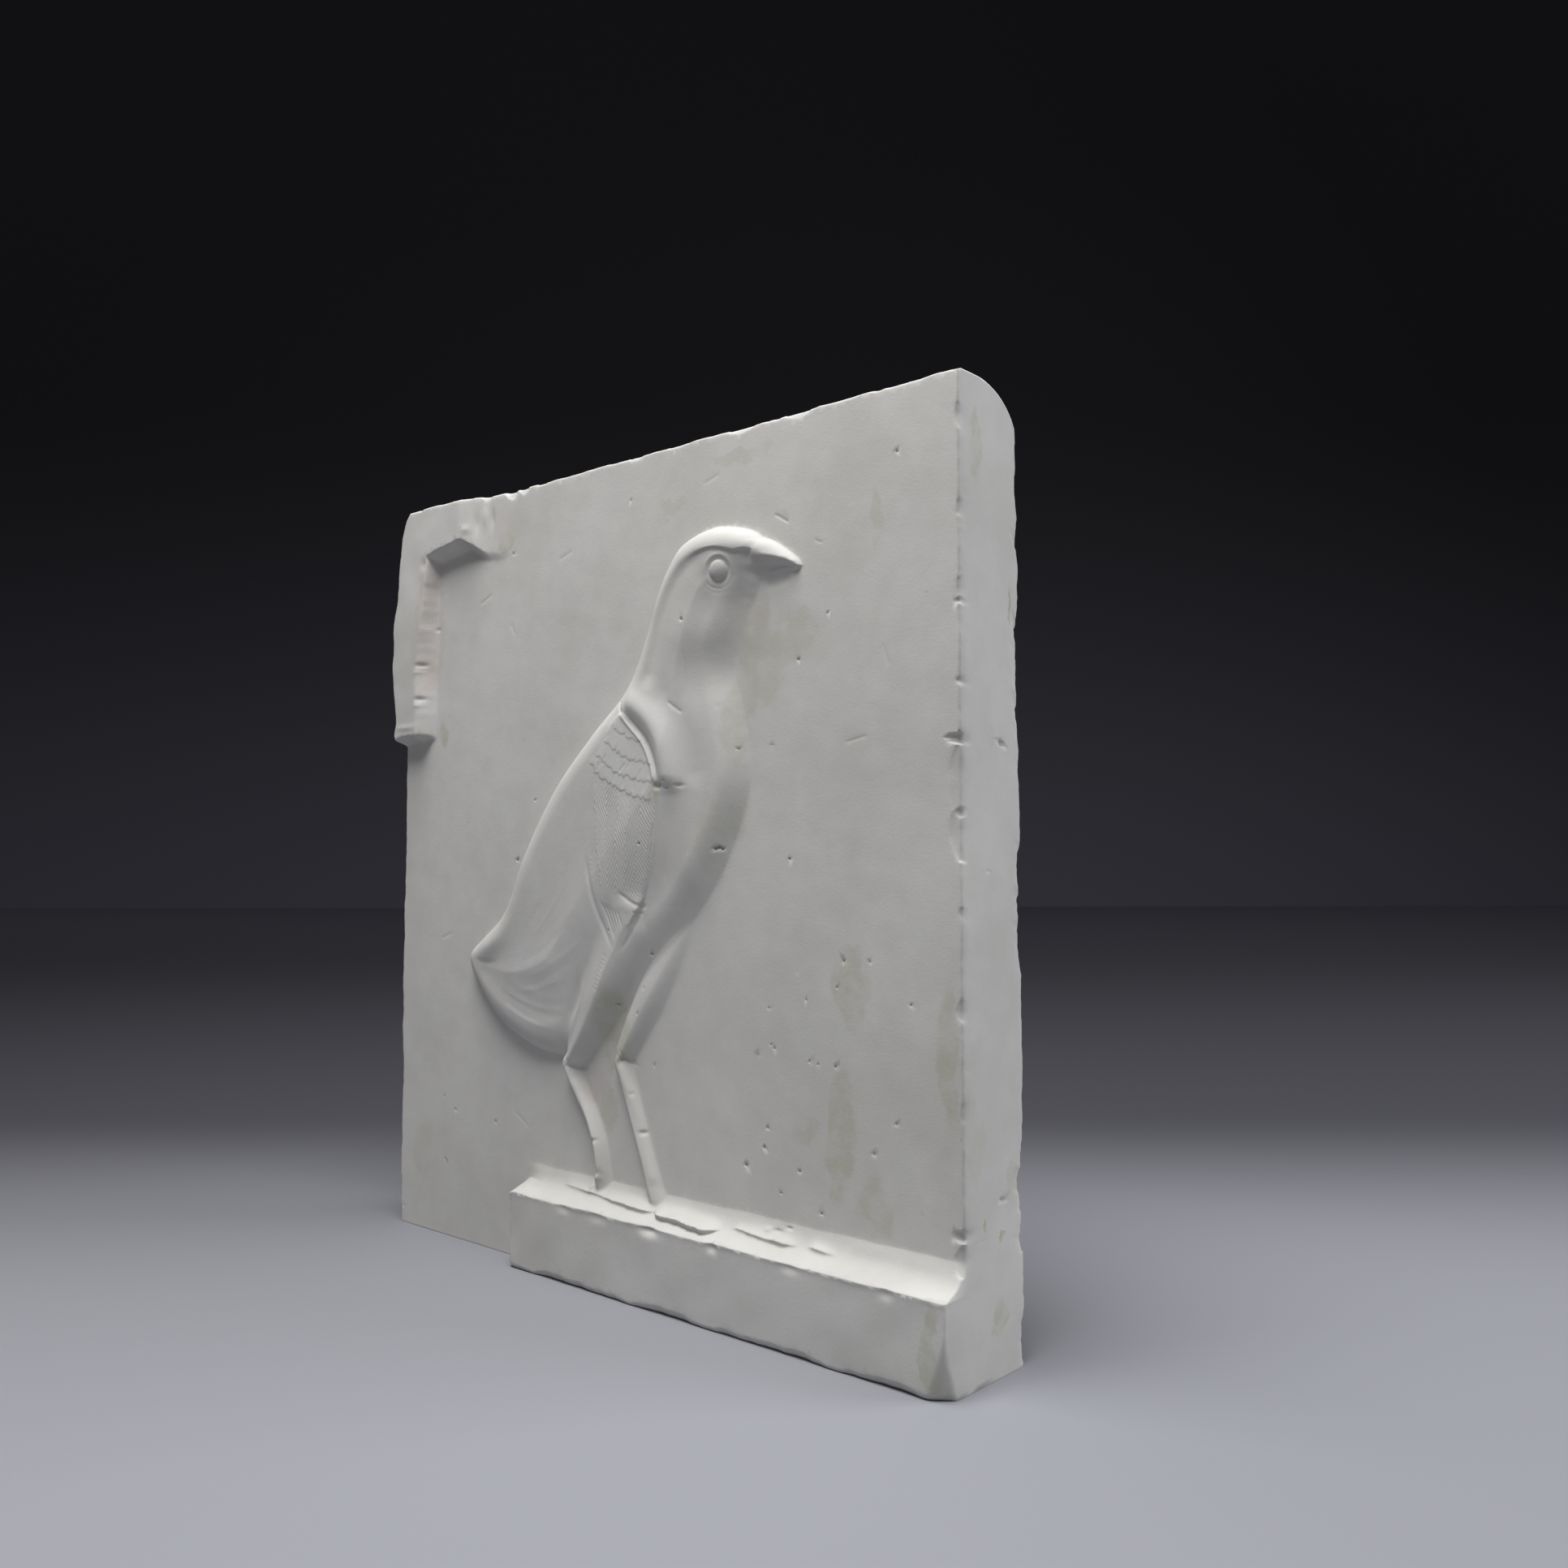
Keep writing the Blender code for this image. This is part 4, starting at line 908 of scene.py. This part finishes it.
# Material: shader maths is written as expressions on this class
class Shade:
    def __init__(self, tree, socket=None):
        self.tree = tree
        self.socket = socket

    def node(self, kind, inputs=None, output=0, **settings):
        made = self.tree.nodes.new(kind)
        for name, value in settings.items():
            setattr(made, name, value)
        for name, value in (inputs or {}).items():
            if isinstance(value, Shade):
                self.tree.links.new(value.socket, made.inputs[name])
            else:
                made.inputs[name].default_value = value
        return Shade(self.tree, made.outputs[output])

    def math(self, operation, first, second):
        return self.node("ShaderNodeMath", {0: first, 1: second}, operation=operation)

    def __add__(self, other):
        return self.math("ADD", self, other)

    def __radd__(self, other):
        return self.math("ADD", other, self)

    def __sub__(self, other):
        return self.math("SUBTRACT", self, other)

    def __rsub__(self, other):
        return self.math("SUBTRACT", other, self)

    def __mul__(self, other):
        return self.math("MULTIPLY", self, other)

    def __rmul__(self, other):
        return self.math("MULTIPLY", other, self)

    def __truediv__(self, other):
        return self.math("DIVIDE", self, other)

    def __rtruediv__(self, other):
        return self.math("DIVIDE", other, self)

    def __pow__(self, other):
        return self.math("POWER", self, other)

    def most(self, other):
        return self.math("MAXIMUM", self, other)

    def ramp(self, low, high):
        # 0 at low, 1 at high, smooth between
        return self.node("ShaderNodeMapRange", {"Value": self, "From Min": low, "From Max": high},
                         interpolation_type="SMOOTHSTEP")

    def noise(self, scale, detail=2.0, rough=0.5, at=None):
        return self.node("ShaderNodeTexNoise", {"Vector": at or self, "Scale": scale, "Detail": detail,
                                                "Roughness": rough})

    def mix(self, factor, first, second):
        made = self.tree.nodes.new("ShaderNodeMix")
        made.data_type = "RGBA"
        for socket, value in ((made.inputs["Factor"], factor), (made.inputs[6], first),
                              (made.inputs[7], second)):
            if isinstance(value, Shade):
                self.tree.links.new(value.socket, socket)
            else:
                socket.default_value = value
        return Shade(self.tree, made.outputs[2])


plaster = {
    "colour": (0.555, 0.546, 0.524, 1), "pale": (0.615, 0.606, 0.590, 1), "dull": (0.49, 0.481, 0.455, 1),
    "olive": (0.40, 0.395, 0.285, 1), "pink": (0.50, 0.43, 0.39, 1), "cool": (0.60, 0.60, 0.62, 1),
    "roughness": 0.86,
    # stains, and in one olive entry painted shade: across, up, half width, half height, strength
    "oliveStainsAndPitShade": [
        (198, 91, 6, 10, 0.5), (194, 54, 5, 16, 0.5), (182, 54, 4, 3, 0.35), (205, 37, 6, 8, 0.35),
        (227, 74, 3.5, 19, 0.45), (168, 176, 9, 15, 0.4), (178, 182, 8, 9, 0.35), (160, 160, 4, 12, 0.35),
        (112, 74, 7, 12, 0.5), (108, 52, 4, 8, 0.35), (24.5, 164, 2.5, 5, 0.5), (57, 223, 4, 3.5, 0.5),
        # the olive patch at 134.6 across and 142.9 up is painted shade that darkens the shoulder's deepest
        # pit
        (134.6, 142.9, 1.6, 1.4, 0.9), (159, 133, 4, 5, 0.25), (152, 128, 5, 14, 0.2),
        (206, 208, 2.5, 7, 0.3), (160, 232, 12, 2.5, 0.3), (133, 223, 6, 2, 0.25), (227, 12, 2.5, 12, 0.5),
        (14, 25, 6, 9, 0.2), (78, 27, 8, 3, 0.2)],
    "pinkStains": [(161, 184, 5, 10, 0.22), (167, 190, 4, 4, 0.2), (101, 56, 5, 5, 0.55),
                   (19, 200, 4.5, 24, 0.45), (13.5, 187, 2.0, 12, 0.3), (58, 228, 8, 5, 0.2),
                   (133, 128, 4, 10, 0.12)],
    # on the right side: how far back, up, half width, half height, strength
    "sideStains": [(8, 36, 1.2, 1.2, 0.8), (16.5, 34.3, 1.2, 1.3, 0.8), (7, 222, 3, 9, 0.4),
                   (15, 14, 4, 3, 0.5), (12, 152, 2.5, 3, 0.2), (22.4, 186, 0.8, 5, 0.9),
                   (21, 45, 3, 7, 0.3), (5, 60, 4, 14, 0.2)],
}


def patchMask(spots, wobble, first, second):
    # uneven patches round some spots, in one plane of the slab
    total = None
    for a, b, halfA, halfB, strength in spots:
        da = (first + wobble * (2.4 * mm) - a * mm) / (halfA * mm)
        db = (second + wobble * (3.6 * mm) - b * mm) / (halfB * mm)
        patch = (da * da + db * db).ramp(1.25, 0.55) * strength
        total = patch if total is None else total.most(patch)
    return total


def plasterMaterial():
    material = bpy.data.materials.new("plaster")
    material.use_nodes = True
    tree = material.node_tree
    shader = tree.nodes["Principled BSDF"]
    start = Shade(tree)
    place = start.node("ShaderNodeTexCoord", output="Object")
    px = start.node("ShaderNodeSeparateXYZ", {0: place}, output="X") + slab["width"] / 2 * mm
    py = start.node("ShaderNodeSeparateXYZ", {0: place}, output="Y") - (cadLow.y + ledge["depth"] * mm)
    pz = start.node("ShaderNodeSeparateXYZ", {0: place}, output="Z")
    # mottling: broad clouds, small clouds, and a fine speckle
    broad = place.noise(22, 3, 0.55)
    small = place.noise(130, 4, 0.6)
    speckle = place.noise(900, 2, 0.5)
    colour = start.mix((broad * 0.7 + small * 0.3).ramp(0.36, 0.66), plaster["dull"], plaster["pale"])
    colour = start.mix(0.5, colour, plaster["colour"])
    wobble = place.noise(85, 5, 0.62) * 5 - 2.5
    front = py.ramp(0.0022, 0.0008)
    # olive stains, with painted shade in the shoulder's deepest pit
    olive = patchMask(plaster["oliveStainsAndPitShade"], wobble, px, pz) * front
    pink = patchMask(plaster["pinkStains"], wobble, px, pz) * front
    side = patchMask(plaster["sideStains"], wobble, py, pz) * px.ramp(slab["width"] * mm - 0.0015,
                                                                  slab["width"] * mm - 0.0006)
    patchy = place.noise(190, 4, 0.6).ramp(0.36, 0.60)
    colour = start.mix(olive.most(side) * (0.35 + 0.65 * patchy), colour, plaster["olive"])
    colour = start.mix(pink * (0.5 + 0.5 * patchy), colour, plaster["pink"])
    # a few olive and cool clouds over the whole cast
    colour = start.mix(place.noise(48, 4, 0.6).ramp(0.60, 0.78) * 0.10, colour, plaster["olive"])
    colour = start.mix(place.noise(35, 3, 0.5).ramp(0.55, 0.75) * 0.25, colour, plaster["cool"])
    colour = start.mix(speckle.ramp(0.62, 0.75) * 0.12, colour, plaster["dull"])
    tree.links.new(colour.socket, shader.inputs["Base Color"])
    roughness = plaster["roughness"] - 0.10 * olive + 0.08 * (small - 0.5)
    tree.links.new(roughness.socket, shader.inputs["Roughness"])
    shader.inputs["Metallic"].default_value = 0.0
    shader.inputs["Specular IOR Level"].default_value = 0.3
    grain = place.noise(1400, 3, 0.6) * 0.6 + place.noise(380, 3, 0.6) * 0.4
    bump = start.node("ShaderNodeBump", {"Height": grain, "Strength": 0.25, "Distance": 0.0002})
    tree.links.new(bump.socket, shader.inputs["Normal"])
    return material


def finishSlab(piece):
    # casting marks, then fewer faces where the surface is flat, all as one plain mesh
    holes = holePoints()
    bpy.context.collection.objects.link(holes)
    material = plasterMaterial()
    modifier = piece.modifiers.new("cast surface", "NODES")
    modifier.node_group = castingTree()
    for name, value in (("Known Holes", holes), ("Uneven Depth", casting["unevenDepth"]),
                        ("Uneven Scale", casting["unevenScale"]), ("Grain Depth", casting["grainDepth"]),
                        ("Grain Scale", casting["grainScale"]), ("Hole Depth", casting["holeDepth"]),
                        ("Stray Holes", casting["strayHoles"]),
                        ("Smallest Stray", casting["straySmallest"]),
                        ("Largest Stray", casting["strayLargest"]), ("Seed", casting["seed"]),
                        ("Material", material)):
        setInput(modifier, name, value)
    thin = piece.modifiers.new("fewer faces", "DECIMATE")
    thin.ratio = min(1, gridSettings["faces"] / (2 * len(piece.data.polygons)))
    mesh = bpy.data.meshes.new_from_object(piece.evaluated_get(bpy.context.evaluated_depsgraph_get()))
    piece.modifiers.clear()
    spots = np.empty(3 * len(mesh.vertices), np.float32)
    mesh.vertices.foreach_get("co", spots)
    spots = spots.reshape(-1, 3)
    spots = np.clip(spots, np.array(cadLow), np.array(cadHigh))
    spots[spots[:, 2] < 0.00005, 2] = 0
    mesh.vertices.foreach_set("co", spots.ravel())
    mesh.update()
    mesh.name = "plaster relief finished"
    old = piece.data
    piece.data = mesh
    bpy.data.meshes.remove(old)
    bpy.data.objects.remove(holes)
    if not mesh.materials:
        mesh.materials.append(material)
    print("finished slab with", len(mesh.polygons), "faces")


finishSlab(slabPiece)
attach(slabPiece, "root")
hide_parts("plaster_relief")

# Floor, light and camera
studio = {
    "floorHalf": 6.0, "floorColour": (0.255, 0.26, 0.288, 1),
    # the floor's tones are painted shade and light: darker away from the slab, where the light falls off, and
    # lighter again far off
    "floorPaintedShade": [(-0.02, 0.26, (0.057, 0.056, 0.070, 1)), (0.9, 2.2, (0.120, 0.116, 0.147, 1))],
    "wallDistance": 2.6, "wallTurn": 41.5, "wallColour": (0.123, 0.119, 0.152, 1),
    # the backdrop's tone is painted shade, darkening towards its top
    "wallPaintedShade": [(-0.35, 1.15, (0.010, 0.0095, 0.014, 1))], "worldColour": (0.30, 0.305, 0.32, 1),
    "worldStrength": 0.50,
    # name: place, aim, size, power, colour
    "lights": [
        ("top light", (0.06, -0.205, 0.84), (0, 0, 0.12), 0.4, 8.8, (1.0, 0.995, 0.98)),
        ("side light", (1.1, 0.75, 0.9), (0, 0, 0.16), 0.8, 13.5, (0.97, 0.975, 1.0)),
    ],
}
photoSide = 1932
camera = {"place": (0.297632, -0.277500, 0.125264), "turn": 41.4720, "tilt": 2.7102, "roll": -0.0968,
          "focalPixels": 1700.0, "sensor": 36.0}


def stageSurface(name, corners, direction, colour, paintedShading):
    # painted shade and light: its colour changes along a direction, standing in for how the light falls off;
    # each tone takes over between two places
    mesh = bpy.data.meshes.new(name)
    mesh.from_pydata(corners, [], [(0, 1, 2, 3)])
    piece = bpy.data.objects.new(name, mesh)
    bpy.context.collection.objects.link(piece)
    material = bpy.data.materials.new(name)
    material.use_nodes = True
    shader = material.node_tree.nodes["Principled BSDF"]
    place = Shade(material.node_tree).node("ShaderNodeTexCoord", output="Object")
    reach = place.node("ShaderNodeVectorMath", {0: place, 1: direction}, output="Value",
                       operation="DOT_PRODUCT")
    shadedColour = colour
    for start, end, later in paintedShading:
        shadedColour = place.mix(reach.ramp(start, end), shadedColour, later)
    material.node_tree.links.new(shadedColour.socket, shader.inputs["Base Color"])
    shader.inputs["Roughness"].default_value = 0.75
    mesh.materials.append(material)


def buildStudio():
    half = studio["floorHalf"]
    turn = math.radians(studio["wallTurn"])
    direction = (-math.sin(turn), math.cos(turn), 0)
    # floor with painted shade that darkens away from the slab
    stageSurface("floor", [(-half, -half, 0), (half, -half, 0), (half, half, 0), (-half, half, 0)],
                 direction, studio["floorColour"], studio["floorPaintedShade"])
    away = np.array(direction) * studio["wallDistance"]
    along = np.array([math.cos(turn), math.sin(turn), 0]) * half
    # backdrop with painted shade that darkens upwards
    stageSurface("backdrop", [tuple(away - along), tuple(away + along), tuple(away + along + [0, 0, half]),
                              tuple(away - along + [0, 0, half])],
                 (0, 0, 1), studio["wallColour"], studio["wallPaintedShade"])
    world = bpy.data.worlds.new("studio")
    bpy.context.scene.world = world
    world.use_nodes = True
    background = world.node_tree.nodes["Background"]
    background.inputs["Color"].default_value = studio["worldColour"]
    background.inputs["Strength"].default_value = studio["worldStrength"]
    for name, spot, aim, size, power, tint in studio["lights"]:
        light = bpy.data.lights.new(name, "AREA")
        light.size = size
        light.energy = power
        light.color = tint
        lamp = bpy.data.objects.new(name, light)
        bpy.context.collection.objects.link(lamp)
        direction = np.array(aim) - np.array(spot)
        turn = math.atan2(direction[0], -direction[1])
        lean = math.atan2(math.hypot(direction[0], direction[1]), -direction[2])
        lamp.matrix_world = Matrix.Translation(spot) @ Matrix.Rotation(math.pi + turn, 4,
                                                                       "Z") @ Matrix.Rotation(lean, 4, "X")


def buildCamera():
    data = bpy.data.cameras.new("camera")
    data.sensor_width = camera["sensor"]
    data.lens = camera["sensor"] * camera["focalPixels"] / photoSide
    data.clip_start = 0.01
    eye = bpy.data.objects.new("camera", data)
    bpy.context.collection.objects.link(eye)
    turn = Matrix.Rotation(math.radians(camera["turn"]), 4, "Z")
    tilt = Matrix.Rotation(math.radians(90 + camera["tilt"]), 4, "X")
    roll = Matrix.Rotation(math.radians(camera["roll"]), 4, "Z")
    eye.matrix_world = Matrix.Translation(camera["place"]) @ turn @ tilt @ roll
    bpy.context.scene.camera = eye


buildStudio()
buildCamera()
bpy.context.scene.view_settings.view_transform = "Standard"
print("floor, light and camera")
